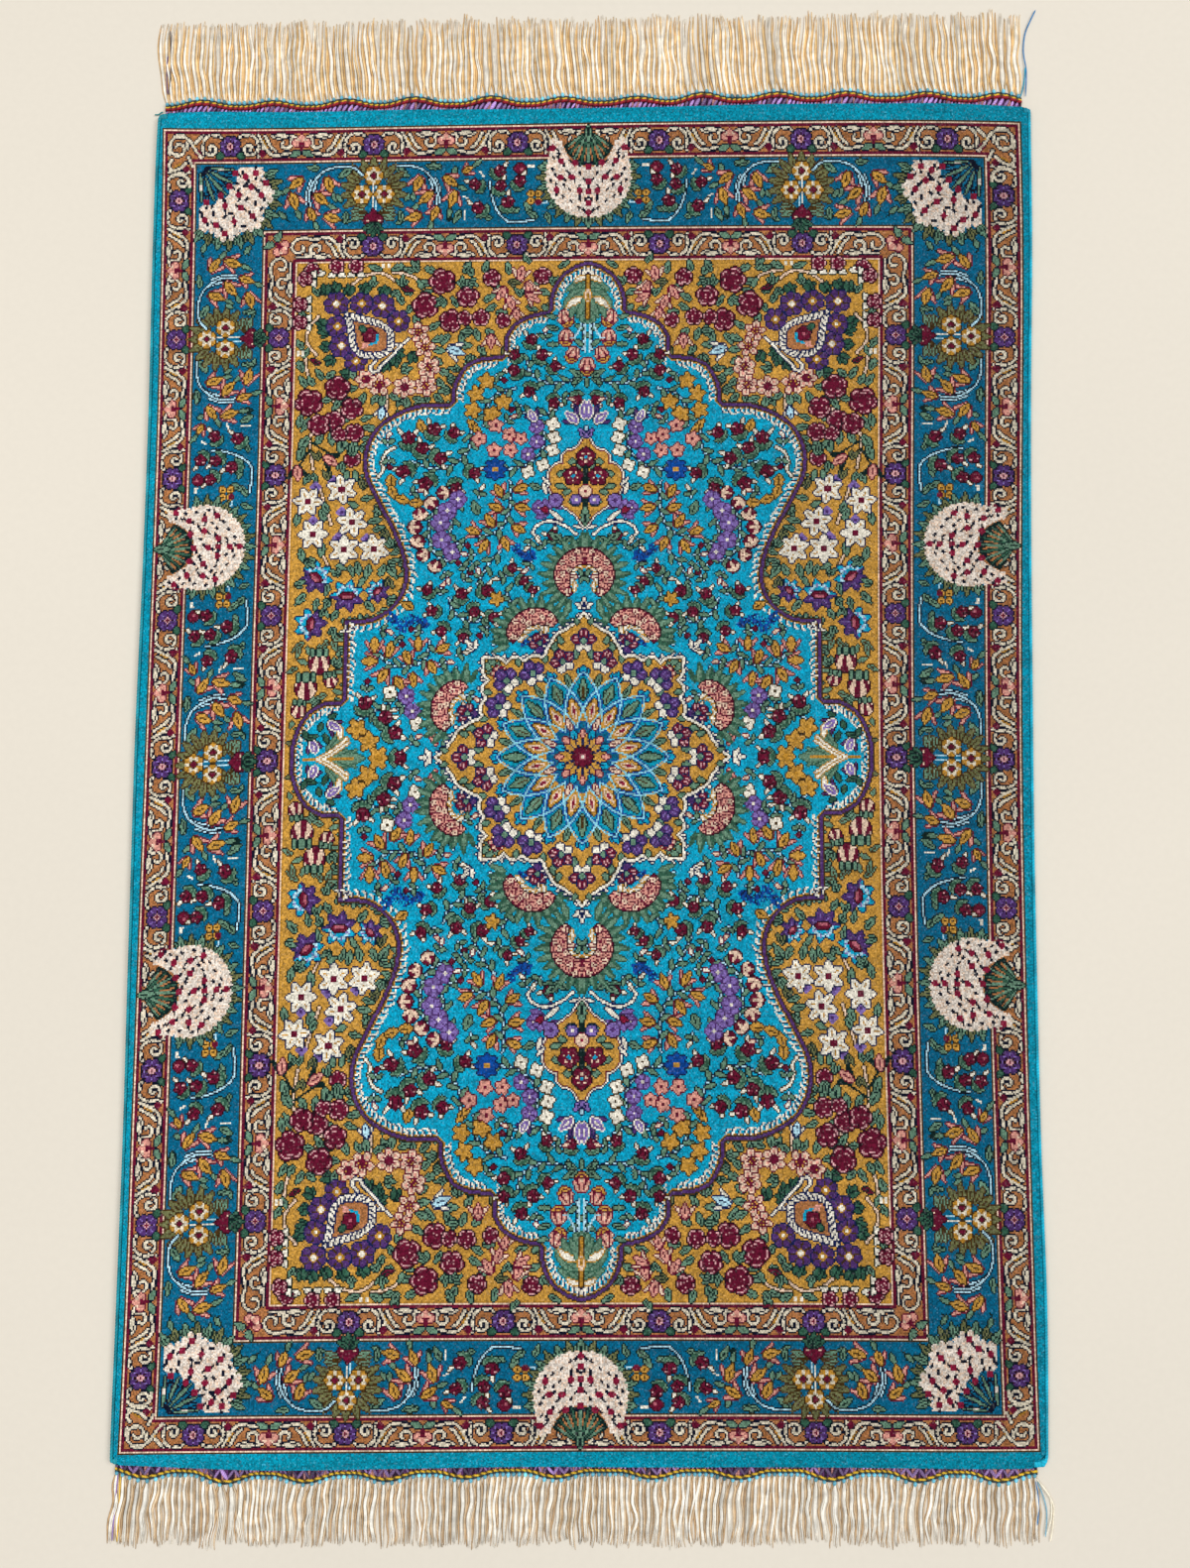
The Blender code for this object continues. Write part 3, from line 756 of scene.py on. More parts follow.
def corner():
    """The corner's white blossom, cut by a fan of dark leaves that springs from the corner."""
    for k in range(15):
        px, py = off(246, 394, 128 + k * 12.5, 29)
        if px < 266 and py < 412:
            halo(px, py, 140 + k * 12.5, "moss" if k % 2 else "sage")
    e = arange(0, 2 * pi, 0.05)
    r = 28.6 + 2.2 * cos(8 * e)
    disc = scalloped(stack([246 + r * cos(e), 394 + r * sin(e)], 1), 5.2, 2.2)
    disc &= (ACROSS < 264.6) & (ALONG < 412.6)
    w = Window(266, 414, 225, 60)
    gap = zeros(CHART.shape, bool)
    gap[w.part] = w.far < 28 + 1.5 * cos(16 * w.angle)
    petalled(disc & ~gap)
    tie(disc & gap, "border_blue")
    for k in range(-4, 5):
        d = 225 + 10.5 * k
        dye, wide = ("border_blue", 0.075) if k % 2 else ("sage", 0.1)
        leaf(*off(264.5, 412.5, d, 3), d, 23 - 0.5 * abs(k), dye, "ink", wide)
    for n, (x, y) in enumerate(CORNER_DOTS):
        heart_dot(x, y, n)
    for x, y in CORNER_FLECKS:
        fleck(x, y, 37 * x, 3.3, "ink", 2)
    fleck(250, 411.5, 0, 5, "shell", 2)
    fleck(264, 399, 90, 4, "shell", 2)


def borders():
    """Both guards and the main border, with its fans and its corner."""
    sow(guard, GUARDS)
    guard_corners()
    for run in ((0, 1, 392, 1, False), (146.25, 1, 244, 1, True)):
        border_run(run)
        border_run(run, True, False)
    border_run((146.25, -1, 244, 1, True))
    corner()
    fan(0, 404, 90)
    fan(256.8, 146.25, 0)


# ---- the tables of the field and of the gold ground: x, y, then direction and length or radius

FIELD_EDGE = (((-6, 344.5), (0, 345), (5, 344), (12, 340.5), (20, 333.5), (25, 324.5), (27, 316.5),
    (27.5, 309.5)), ((27.5, 309.5), (33, 309.5), (40, 307.5), (47.5, 303.5), (53.5, 297.5), (57, 290),
    (57.5, 278.5)), ((57.5, 278.5), (64.5, 278.5), (73.5, 277), (82, 272.5), (88, 264), (91.5, 255),
    (92, 244.5)), ((92, 244.5), (100, 244.8), (108, 245), (116, 243.5), (125, 240), (133, 235.5),
    (140, 229.5), (145.5, 222), (149, 213), (150.5, 205), (149.5, 196), (147, 188), (142, 178), (137, 168),
    (132, 159), (128, 150), (124, 140), (121.5, 129), (121.5, 118), (125.5, 107), (134, 98.5), (144, 94.6),
    (160.5, 93.5)), ((160.5, 93.5), (160.5, 39.5)), ((160.5, 39.5), (170, 39), (178, 35.5), (185, 29),
    (190.5, 20), (193.5, 10), (194.5, 0), (194, -6)))
ROSES = ((99, 331, 9), (81.5, 320, 7.5), (92.5, 303, 8), (72.5, 305, 6), (57.5, 303, 5), (65.5, 333, 6),
    (31, 334.5, 6), (83.5, 305, 5), (110, 314, 9), (168, 256, 8.5), (187, 246, 9.5), (158, 241, 7.5),
    (170, 232, 7.5), (180, 230, 7.5), (156, 224, 6.5), (166, 223, 5))
BLOSSOMS = ((114, 295, 6.5), (110, 284, 6.5), (107, 270, 7), (109, 257, 7), (123, 256, 7.2), (140, 258, 7.5),
    (149, 262, 6.5))
VIOLETS = ((139, 314, 8), (153, 316, 7.5), (170, 316, 8), (128, 303, 7.5), (169, 300, 7.5), (166, 286, 8),
    (156, 275, 7.5))
EDGE_TULIPS = ((157, 341, 90), (170, 341, 90), (186, 339, 50), (190, 334, 0), (193, 316, 0), (193, 303, 0))
PINK_TULIPS = ((46, 335.5, 100, 11), (40, 326.5, 250, 10), (38, 319.5, 210, 10), (58.5, 323, 300, 10),
    (52.5, 316, 250, 10), (48.5, 308, 260, 9), (65.5, 289, 270, 10))
GOLD_LEAVES = ((20, 340.5, 150, 8), (34, 330, 320, 6), (40, 343.5, 60, 8), (53.5, 335.5, 80, 9),
    (33, 324.5, 200, 8), (31, 314, 230, 7), (62.5, 314, 330, 8), (42, 313, 200, 8), (70.5, 337, 100, 9),
    (78.5, 335, 60, 10), (84.5, 337, 120, 9), (70.5, 317, 150, 9), (64.5, 327, 200, 8), (76.5, 297, 250, 9),
    (84.5, 295, 280, 9), (94, 293.5, 300, 9), (88.5, 313, 60, 8), (68.5, 297, 230, 9), (62.5, 308, 170, 8),
    (87, 285.5, 180, 9), (73.5, 285.5, 240, 8), (103, 338, 20, 9), (106.5, 329, 10, 9), (106, 324, 340, 9),
    (117, 338, 100, 8), (115, 338, 60, 9), (118, 338, 20, 8), (133, 340, 160, 9), (140, 340, 15, 9),
    (119, 322, 30, 8), (112, 326, 60, 7), (125, 315, 60, 8), (122, 309, 120, 8), (114, 300, 60, 8),
    (108, 297, 150, 9), (105, 289, 160, 9), (105, 283, 190, 9), (104, 277, 220, 8), (101, 268, 200, 9),
    (101, 262, 240, 8), (103, 251, 230, 9), (107, 250, 290, 8), (117, 248, 200, 9), (124, 249, 300, 8),
    (122, 249, 260, 9), (133, 251, 210, 8), (137, 251, 280, 9), (141, 251, 300, 8), (150, 252, 290, 9),
    (155, 256, 350, 8), (156, 262, 60, 8), (163, 248, 200, 8), (166, 248, 300, 9), (172, 248, 350, 8),
    (176, 263, 140, 8), (178, 262, 60, 9), (184, 258, 60, 8), (189, 257, 60, 9), (192, 268, 70, 9),
    (192, 278, 120, 8), (192, 284, 60, 8), (192, 306, 70, 8), (186, 235, 300, 11), (192, 237, 280, 9),
    (152, 233, 160, 8), (150, 228, 190, 9), (151, 220, 200, 9), (160, 232, 60, 7), (165, 218, 270, 9),
    (172, 224, 260, 9), (178, 224, 290, 9), (160, 213, 60, 7), (157, 213, 120, 7), (155, 197, 260, 7),
    (160, 197, 280, 7), (187, 222, 300, 12), (190, 214, 290, 10), (183, 196, 250, 8), (185, 195, 300, 8),
    (150, 177, 170, 8), (152, 172, 20, 7), (145, 161, 170, 9), (142, 155, 160, 8), (172, 168, 60, 9),
    (192, 168, 280, 9), (177, 170, 250, 9), (175, 146, 280, 9), (190, 143, 260, 9), (131, 131, 240, 11),
    (134, 131, 290, 9), (144, 131, 280, 10), (152, 133, 260, 9), (157, 131, 250, 8), (147, 122, 300, 7),
    (166, 131, 200, 7), (171, 118, 280, 8), (146, 106, 230, 9), (164, 100, 300, 8), (186, 112, 310, 10),
    (178, 108, 280, 8))
GREEN_FANS = ((138, 321, 92), (151, 323, 92), (161, 322, 80), (170, 324, 80), (176, 323, 60), (176, 301, 10),
    (174, 296, 0), (173, 286, -5), (172, 279, 300), (131, 281, 200), (131, 278, 250), (160, 268, 320),
    (120, 280, 230), (135, 275, 290))
DAISIES = ((163.5, 184, 10.5, 80), (186, 176, 10.5, 65), (156, 161, 10.5, 75), (182, 153, 10.5, 60),
    (141, 142, 10.5, 80), (161, 142, 10.5, 90))
DAISY_BUDS = ((169, 190), (181, 186), (163, 168), (182, 162), (146, 149), (165, 150))
ASTERS = ((179, 123, 11, 40), (158, 110, 11, 0), (138, 113, 8, 315), (182, 91, 11, 280))
PEONIES = ((175.5, 65, 270, 13), (167.5, 52.5, 260, 8), (184, 48, 270, 13.5), (188.5, 33.5, 280, 9))
GREEN_SPRAYS = ((167, 80, 250, 9), (168, 82, 200, 8), (170, 80, 300, 8), (186, 79, 320, 10),
    (189, 76, 280, 8), (184, 76, 250, 7), (175.5, 77, 270, 8), (190, 62, 330, 8), (183, 64, 20, 7),
    (165, 58, 180, 6), (166, 46, 200, 7), (170, 43, 340, 8), (178, 42, 330, 9), (192, 26, 290, 6))
BROWN_STEMS = (((112, 330), (121, 335.6), (132, 338)), ((131, 332), (139, 337), (150, 336), (159, 330)),
    ((182, 307), (188, 299), (189.4, 289), (183, 280)), ((190, 277), (189, 269), (186, 261)),
    ((184, 229), (185.6, 216), (183, 199)), ((135, 250), (135, 241)), ((170, 246), (164, 234)),
    ((178, 185), (174, 172), (170, 160)), ((183, 150), (176, 140), (170, 128)))
DROP = ((165, 310.5), (155, 307.5), (145, 305), (137.6, 301.4), (132, 296), (130.6, 288.6), (133, 281.6),
    (139, 277.4), (147, 276.6), (154.4, 279), (159.4, 284.6), (161.2, 292.6), (162.4, 301), (165, 310.5))
DROP_TAIL = (((131, 287), (126, 286), (120.5, 290.5)), ((126, 286), (131.6, 279), (139, 271.6), (141, 268),
    (145, 267.4), (146, 271), (142.6, 275)))
FIELD_BELLS = ((15, 304, 250, 11), (14.5, 290.5, 275, 11), (10, 278.5, 290, 10.5), (0, 270, 270, 11.5))
FIELD_CARNATIONS = ((38.5, 288, 100, 11), (31.5, 277, 120, 11), (22.5, 269.5, 140, 10),
    (48.5, 266.5, 50, 11), (38.5, 254, 280, 11), (6.5, 248, 260, 10), (22.5, 246, 250, 10),
    (48.5, 277.5, 60, 10), (103, 224, 110, 12.5), (119.5, 218, 90, 13.5), (99.5, 206, 200, 12),
    (111, 211, 120, 12), (76.5, 195.5, 200, 11), (87.5, 186, 260, 11), (106, 189, 320, 13),
    (121, 197, 330, 13), (66.5, 112, 160, 11), (82, 109, 100, 11), (61.5, 94.5, 200, 10),
    (73.5, 99.5, 250, 10), (80, 81.5, 270, 10), (94, 86.5, 300, 10), (100, 98.5, 20, 10), (104, 112, 60, 10),
    (49.5, 127.5, 140, 9), (41.5, 119.5, 200, 9), (35.5, 114, 220, 8), (144.5, 35, 100, 13),
    (132, 25.5, 130, 13), (126, 16, 160, 13), (21, 150, 60, 10), (122, 1, 180, 11), (90, 222, 130, 11))
GOLD_FLOWERS = ((68, 260, 5.5), (75, 251, 5.5), (56.5, 245, 5.5), (64, 236.5, 5.5), (77, 239.5, 5.5),
    (149.5, 20, 6.5), (141.5, 11, 6.5), (135, 1, 6.5), (58.5, 107, 4.5))
PURPLE_FLORETS = ((33.5, 227.5, 4.5), (33.5, 217, 4.5), (39, 208, 4.5), (85.5, 176.5, 5.5), (92.5, 168.5, 6),
    (97, 160, 6), (96, 148, 6), (88.5, 139.5, 5.5), (17, 174, 4.5), (31, 170.5, 4.5), (117, 41, 5),
    (113, 31, 5))
PINK_STARS = ((61, 228.5, 5), (52, 222, 5), (44, 219, 4.5), (72, 219, 5), (51, 211, 5), (62, 211, 5))
PINK_BUDS = ((95.5, 181, 5), (103.5, 174, 5.5), (110.5, 166, 5.5), (114, 157, 5.5), (112, 147, 5.5),
    (108, 137.5, 5), (100, 129.5, 5))
CREAM_FLORETS = ((22.5, 229.5, 4), (21.5, 220, 4), (22.5, 211, 4), (29, 200.5, 4), (39, 195.5, 4),
    (128, 44, 4), (110, 22.5, 4))
FIELD_LILIES = ((44, 184, 160, 10), (58, 182, 60, 10), (43, 170.5, 190, 10), (59.5, 170.5, 20, 10),
    (45, 156, 210, 10), (63.5, 160.5, 60, 10), (74.5, 154, 20, 10), (53.5, 146, 250, 10),
    (67.5, 144, 300, 10), (94, 73, 150, 10), (110, 76, 90, 10), (117, 67, 70, 10), (129, 72, 100, 11),
    (139, 75.5, 90, 11), (141.5, 65, 0, 11), (101, 61, 240, 10), (113, 52.5, 260, 10),
    (122.5, 50.5, 240, 10), (133, 55.5, 300, 11))
FIELD_STEMS = (((5, 263.5), (15.5, 259), (28.5, 259), (38.5, 266.5), (40.5, 276.5)),
    ((48.5, 255), (60.5, 251), (68, 240.5), (69, 228.5)), ((36.5, 232.5), (28.5, 222), (30.5, 210),
    (41, 200.5), (53, 197.5)), ((78, 230.5), (78, 215), (86.5, 202.5), (101.5, 198), (116, 203)), ((51, 189),
    (51, 168.5), (56.5, 156), (66.5, 151), (76.5, 151)), ((56.5, 140), (63.5, 132.5), (71.5, 117)),
    ((98.5, 171.5), (104, 163), (104, 148), (99, 137.5), (90, 132.5)),
    ((90, 107), (87, 98.5), (77, 91.5), (67.5, 92.5)),
    ((102, 78), (105, 66), (114, 62), (127, 62), (136, 70)), ((3, 282), (3, 302), (5, 312.5)),
    ((85.5, 176.5), (89.5, 158), (91.5, 148)), ((120, 45.5), (128.5, 35.5), (138.5, 31.5), (148.5, 25.5)),
    ((20, 240), (30, 236), (44, 238)), ((60, 75), (52, 84), (48, 98), (52, 112)),
    ((84, 60), (92, 50), (100, 34), (98, 20)))
SERRATED = ((75, 225, 60, 9), (109.5, 224, 70, 10), (131, 194, 265, 11), (131, 186, 250, 10),
    (127, 178, 200, 10), (118, 174, 180, 10), (114, 100.5, 30, 9), (72, 222, 60, 8))
COBALT_FERNS = ((34, 136, 40, 10), (38, 133, 60, 9), (44, 141, 30, 8), (104, 90, 10, 9), (110, 92, 20, 9),
    (116, 91, 0, 9), (120, 88, 330, 7), (41, 137, 80, 7), (125, 92, 40, 9), (40, 76, 120, 8))
MEDALLION_TOP = (((0, 98), (4, 92.5), (11.5, 86.5), (18, 82.5), (21.6, 77)),
    ((21.6, 77), (24.4, 72), (24.4, 66), (22.8, 60.6)), ((22.8, 60.6), (24.8, 65), (29.5, 67.6), (35, 67.4),
    (40, 64.4)), ((40, 64.4), (43.4, 66.8), (47.4, 66.6), (51.5, 63.4)),
    ((51.5, 63.4), (55.4, 66.4), (61, 66.4), (67, 67)))
GOLD_PANSIES = ((13.6, 64, 66, 7.6, "maroon"), (33.6, 56, 64, 7.8, "purple"), (0, 78, 90, 7.4, "maroon"))
GOLD_SPRAYS = ((43, 61, 80, 5), (58, 62, 30, 6), (41, 49, 50, 6), (5, 66, 90, 6), (14, 76, 60, 6),
    (4, 89, 70, 5), (26, 63, 110, 5), (24, 50, 60, 6), (19.6, 71, 100, 6), (58, 56, 10, 6))
PENDANT_EDGE = (((-3, 222), (0, 222), (3.4, 215), (8, 210.6)),
    ((8, 210.6), (12.6, 209.6), (15.4, 206), (15, 201.6)), ((15, 201.6), (19.6, 200.4), (23.6, 196),
    (24.4, 189.6), (23, 183), (19, 177), (13, 171), (6, 165.4), (0, 157)))


def field():
    """The turquoise field: a purple band with dark edges, a cream line, and curled teeth within."""
    line = outline(FIELD_EDGE)
    area = inside(vstack([[(-10, -10)], [(-10, 345)], line, [(194, -10)]]))
    for depth, dye in enumerate(("olive", "purple", "purple", "olive", "ochre", "turquoise")):
        tie(shrunk(area, depth), dye)
    for n, (x, y, d) in enumerate(along_edge(line, 4.1)):
        long = 4.6 + 1.1 * sin(2.4 * n)
        foot = array(off(x, y, d - 90, 4.6))
        bend = array(off(*foot, d - 66, 0.62 * long))
        curl = array((foot, bend, off(*bend, d - 20 - 14 * sin(1.7 * n), 0.5 * long)))
        stem(curl - off(0, 0, d, 1.05), "navy")
        tie(broad(smooth(curl), 0.62), "ivory")
    return area


def gold_ground():
    """The flowers of the gold ground, with the scrolled leaf drop and the hanging bell."""
    sow(stem, [(p,) for p in BROWN_STEMS], "blush", "olive", True)
    for x, y, d in GREEN_FANS:
        for k in (-32, 0, 32):
            leaf(x, y, d + k, 8.5 - abs(k) / 20, "leaf", width=0.5)
    sow(leaf, GOLD_LEAVES, width=0.5)
    sow(leaf, GREEN_SPRAYS, "sage", "olive")
    for x, y, r in VIOLETS:
        rosette(x, y, r, 7, "purple", "ivory", "ochre", "navy", 17 * x, 0.22, 0.2, "olive")
    for x, y, r in BLOSSOMS:
        blossom(x, y, r + 0.8, 6 if int(x) % 2 else 5, 31 * x)
    for x, y, r in ROSES:
        rose(x, y, r, 40 * x)
    for x, y, d in EDGE_TULIPS:
        for k in (-125, 125):
            leaf(*off(x, y, d, -2), d + k, 7.5, "ivory", width=0.55)
        rose(*off(x, y, d, 1.5), 5)
    sow(tulip, PINK_TULIPS, "pink", "blush", "maroon", "maroon")
    # The leaf drop with its scrolled rim
    for p in DROP_TAIL:
        stem(p, "ivory", "navy", True)
    rim = smooth(DROP)
    body = inside(rim)
    tie(body, "ivory", "navy")
    for x, y, d in along_edge(rim, 3.7):
        fleck(*off(x, y, d + 90, 2.3), d + 48, 4.4, "navy", 1.1)
    tie(shrunk(body, 4), "navy")
    tie(shrunk(body, 5), "tan")
    cross_flower(147, 293, 5, "maroon", "rose", "wine", 5, 20)
    leaf(150, 296, 45, 6, "leaf", width=0.6)
    stem(((142, 293), (142.6, 288.4), (147, 286.6)), "turquoise", None, True)
    leaf(148, 288, 320, 6, "pink", None, 0.6)
    # The hanging bell and the nodding buds
    rose(157, 205.5, 5.5)
    sow(leaf, ((157, 208, 60, 7), (157, 208, 120, 7)), width=0.5)
    leaf(157.5, 209, 90, 8, width=0.4)
    for points, head in ((((170, 208), (176, 212), (184, 217)), (172, 205, 215, 11)),
                         (((186, 212), (190, 205), (193, 200)), (193.5, 197, 265, 11))):
        stem(points, "bottle", None, True)
        tulip(*head, "pink", "bottle", "bottle", "maroon")
    sow(tulip, ((138, 238, 280, 9), (90, 282, 200, 12)), "sky", "ivory", "navy", "navy")
    sow(leaf, ((126, 327, 200, 8), (180, 273, 30, 8)), "maroon", width=0.4)
    for x, y in ((137, 342.5), (193.5, 281)):
        sow(fleck, ((x - 1.6, y), (x + 1.6, y)), 90, 4, "ivory", 2)
    sow(rosette, DAISY_BUDS, 3.8, 4, "lilac", "purple")
    sow(daisy, DAISIES)
    for x, y, r, d in ASTERS:
        w = Window(x, y, d, r + 2)
        daisy(x, y, r, d, "purple", "maroon", "navy", "lilac", 7)
        blue = (CHART[w.part] == NUMBER["purple"]) & (w.b > 0) & (w.far < r)
        lay(w, blue, "turquoise")
        lay(w, blue & (abs(w.far - 0.6 * r) < 0.9), "sky")
        lay(w, (w.a / (0.42 * r)) ** 2 + (w.b / (0.22 * r)) ** 2 < 1, "maroon", "wine")
        lay(w, (w.a / (0.3 * r)) ** 2 + ((w.b + 0.1 * r) / (0.12 * r)) ** 2 < 1, "rose")
    sow(peony, PEONIES)


def field_flowers():
    """The stems and the flowers of the turquoise field."""
    sow(stem, [(p,) for p in FIELD_STEMS], "sky", "navy")
    for p in FIELD_STEMS:
        for n, (x, y, d) in enumerate(along_edge(smooth(p), 5.5)):
            leaf(x, y, d + (50 if n % 2 else -50), 7.4, width=0.36)
    sow(fern, COBALT_FERNS)
    sow(leaf, SERRATED, "gold", "olive", 0.6)
    sow(carnation, FIELD_CARNATIONS)
    sow(bell, FIELD_BELLS)
    sow(tulip, FIELD_LILIES)
    for x, y, r in GOLD_FLOWERS:
        daisy(x, y, r + 0.6, 50 * x, "gold", "ochre", "olive", "ochre", 5)
    for x, y, r in PURPLE_FLORETS:
        rosette(x, y, r, 5, "lilac", "ivory", None, "purple", 40 * x, 0.2, 0.2, "purple")
    for x, y, r in PINK_STARS:
        daisy(x, y, r, 70 * x, "pink", "maroon", "maroon", None, 5, 0.8)
    for x, y, r in PINK_BUDS:
        bud(x, y, 30 * x, r + 0.8)
    for x, y, r in CREAM_FLORETS:
        cross_flower(x, y, r + 0.4, "ivory", "olive", "olive", 4, 20)
    daisy(61, 197.5, 8, 0, "cobalt", "gold", "navy", None, 8, 0.8)


def florets(x, y, r, start, stop, thick=11):
    """A crescent packed with small pink florets, in a dense feathery green rim."""
    sweep = stop - start
    n = int(sweep / 360 * 2 * pi * (r + thick * 0.7) / 2.6)
    for k in range(n + 1):
        e = start - 6 + (sweep + 12) * k / n
        leaf(*off(x, y, e, r + thick * 0.3), e + (9 if k % 2 else -9), 12.5 - 1.5 * (k % 3),
             "leaf" if k % 2 else "sage", "leaf", 0.24)
    for k in range(0, n, 4):
        e = start + sweep * k / n
        leaf(*off(x, y, e, r - thick * 0.3), e + 150, 7, "ivory", "ochre", 0.3)
    w = Window(x, y, (start + stop) / 2, r + thick + 4)
    half = radians(sweep / 2)
    t = clip(1 - (abs(w.angle) / half) ** 3, 0, 1)
    lay(w, (abs(w.far - r) < thick / 2 * sqrt(t)) & (abs(w.angle) < half), "maroon", "wine")
    for ring, first in ((-0.34, -0.2), (-0.02, 0.3), (0.3, -0.05)):
        far = r + ring * thick
        m = max(int(sweep / 360 * 2 * pi * far / 4.4), 2)
        for k in range(m):
            w = Window(*off(x, y, start + sweep * (k + 0.5 + first * 0.8) / m, far), 47 * k, 4)
            within = np.isin(CHART[w.part], [NUMBER[name] for name in ("maroon", "pink", "blush")])
            lay(w, (w.far < 1.1 + 1.1 * abs(cos(2.5 * w.angle))) & within, "pink" if k % 3 else "blush")
            lay(w, (w.far < 0.7) & within, "maroon")


def medallion():
    """The medallion: crescents of florets outside a gold zone of pansies, which a net of pale lines
    parts from blue frames with a leaf in each; inside lie kites, a gold star and a rosette."""
    ring = vstack([outline(MEDALLION_TOP), outline([mirrored(a) for a in reversed(MEDALLION_TOP)])])
    shape = inside(vstack([[(-4, -4)], [(-4, 98)], ring, [(98, -4)]]))
    ray = lambda r, e: off(0, 0, e, r)
    sow(florets, ((31.5, 79.5, 15.5, -8, 143), (79.5, 31.5, 15.5, -53, 98), (0, 122, 15, -55, 235)))
    for x, y, e in ((29.2, 76.5, 60), (76.5, 29.2, 30)):
        for k in (-70, -35, 35, 70):
            leaf(x, y, e + k, 8.5, "blush", "olive", 0.3)
        pansy(x, y, e, 6.4, "maroon", "purple")
    for x, y, d in along_edge(ring, 5.2):
        leaf(*off(x, y, d + 90, -0.6), d + 62, 4.6, "ivory", "navy", 0.34)
    for depth, dye in enumerate(("navy", "ivory", "ivory", "olive", "gold", "gold", "ochre", "gold")):
        tie(shrunk(grown(shape, 2), depth), dye)
    for make, rows, more in ((leaf, GOLD_SPRAYS, {"width": 0.5}), (pansy, GOLD_PANSIES, {})):
        sow(make, rows, **more)
        sow(make, [(y, x, 90 - d, *rest) for x, y, d, *rest in rows], **more)
    sow(blossom, ((56, 57), (57, 56)), 4.6)
    pansy(51, 51, 45, 8)
    for e in 22.5 * arange(-1, 6):
        tie(inside((ray(31, e), ray(45.6, e + 11.25), ray(57, e), ray(45.6, e - 11.25))), "sea")
        tie(inside((ray(20, e + 11.25), ray(32, e + 22.5), ray(45.6, e + 11.25), ray(32, e))), "turquoise")
        for b in (-2.6, 2.6):
            dot(*ray(57.4, e + b), 1.7, "turquoise", "navy")
        leaf(*ray(55, e), e, 6.6, "turquoise", "navy", 0.7)
    tie(WHOLE.far < 24, "border_blue")
    for e in 22.5 * arange(-1, 6):
        for b in (-30, 30):
            leaf(*ray(41, e), e + b, 6.5, width=0.4)
        leaf(*ray(37.5, e), e, 15.5, width=0.36, vein="olive")
        for far, row in ((48, (9,)), (22.8, (17, "gold", "olive", 0.5)),
                         (25.6, (11.5, "blush", "ochre", 0.4)), (28.4, (6, "crimson", None, 0.3))):
            leaf(*ray(far, e + 11.25), e + 11.25, *row)
    for grow, dye in ((True, "cobalt"), (False, "aqua")):
        for e in 22.5 * arange(-1, 6):
            for p, q in (((57, 0), (45.6, 11.25)), ((45.6, 11.25), (32, 0)), ((32, 0), (20, 11.25))):
                for way in (-1, 1):
                    a, b = (array(ray(r, e + way * d)) for r, d in (p, q))
                    net = broad(smooth((a, (a + b) * 0.515, b)), 0.6)
                    ground = np.isin(CHART, [NUMBER[name] for name in ("sea", "turquoise", "border_blue")])
                    tie(grown(net) & ground if grow else net, dye)
    for n in range(4):
        for e, far, *row in ((22.5, 8, 12, "turquoise", "navy", 0.5), (0, 5, 13.5, "gold", "navy", 0.6),
                             (0, 13, 6, "pink", "maroon", 0.46)):
            leaf(*ray(far, e + 45 * n), e + 45 * n, *row)
    for e in (22.5, 67.5):
        leaf(*ray(19.5, e), e, 8, "blush", "maroon", 0.4)
    rosette(0, 0, 7, 8, "maroon", "ivory", "rose", "wine", 0, 0.2, 0.16)
    for x, y, d in ((0, 100, 90), (100, 0, 0), (72.5, 72.5, 45)):
        for k in (-55, 0, 55):
            leaf(x, y, d + k, 9 - abs(k) / 25, "ivory", "navy")


def pendant():
    """The golden pendant over the medallion: stepped sides in a white ribbon, three dark flowers, and
    lilies where its ribbon ends."""
    shape = inside(vstack([outline(PENDANT_EDGE), [(-3, 157)]]))
    for rings, dye in ((3, "navy"), (2, "ivory"), (1, "maroon"), (0, "gold")):
        tie(grown(shape, rings), dye)
    sow(leaf, ((4, 211, 200, 6), (12, 202, 160, 6), (19, 193, 150, 7), (20, 186, 190, 7), (15, 180, 150, 6),
               (11, 175, 200, 7), (3, 198, 60, 6)), width=0.5)
    stem(((1, 205), (1, 162)), "bottle", None, True)
    for x, y in ((0, 206), (8.4, 192.6)):
        rosette(x, y, 6.6, 5, "maroon", "turquoise", "maroon", "wine", 90, 0.32, 0.2)
        w = Window(x, y, 90, 5)
        lay(w, (abs(w.far - 3.1) < 0.6) & (cos(5 * w.angle) < -0.2), "blush")
    rosette(0, 182, 4.2, 6, "blush", "crimson", None, "maroon")
    rosette(6.4, 176, 3.6, 5, "lilac", "ivory", None, "navy")
    leaf(0, 158, 90, 14, width=0.4)
    rosette(20, 175.6, 4.6, 3, "lilac", "purple", "lilac", "wine", 40, 0.1, 0.36)
    leaf(0, 220, 90, 9, "sky", "navy", 0.4)
    leaf(0, 220, 50, 8, "lilac", "navy", 0.4)
    for d in (-26, 6, 38, 70):
        leaf(24, 167.4, d, 9.6, "lilac", "purple", 0.44)
    leaf(25, 168, 20, 5, "crimson", "wine", 0.7)
    sow(leaf, ((15, 161, 40, 12), (17, 160, 8, 10), (26, 180, 70, 9), (24, 186, 50, 8), (8, 158, 200, 7)),
        "ivory", "navy", 0.26)
    stem(((6, 152), (14, 158), (24, 161), (32, 158), (35, 152.6), (31, 149.6)), "ivory", "navy", True)
    sow(leaf, ((9, 150, 330), (30, 184, 20), (16, 148, 30), (3, 148, 300)), 9, width=0.45)


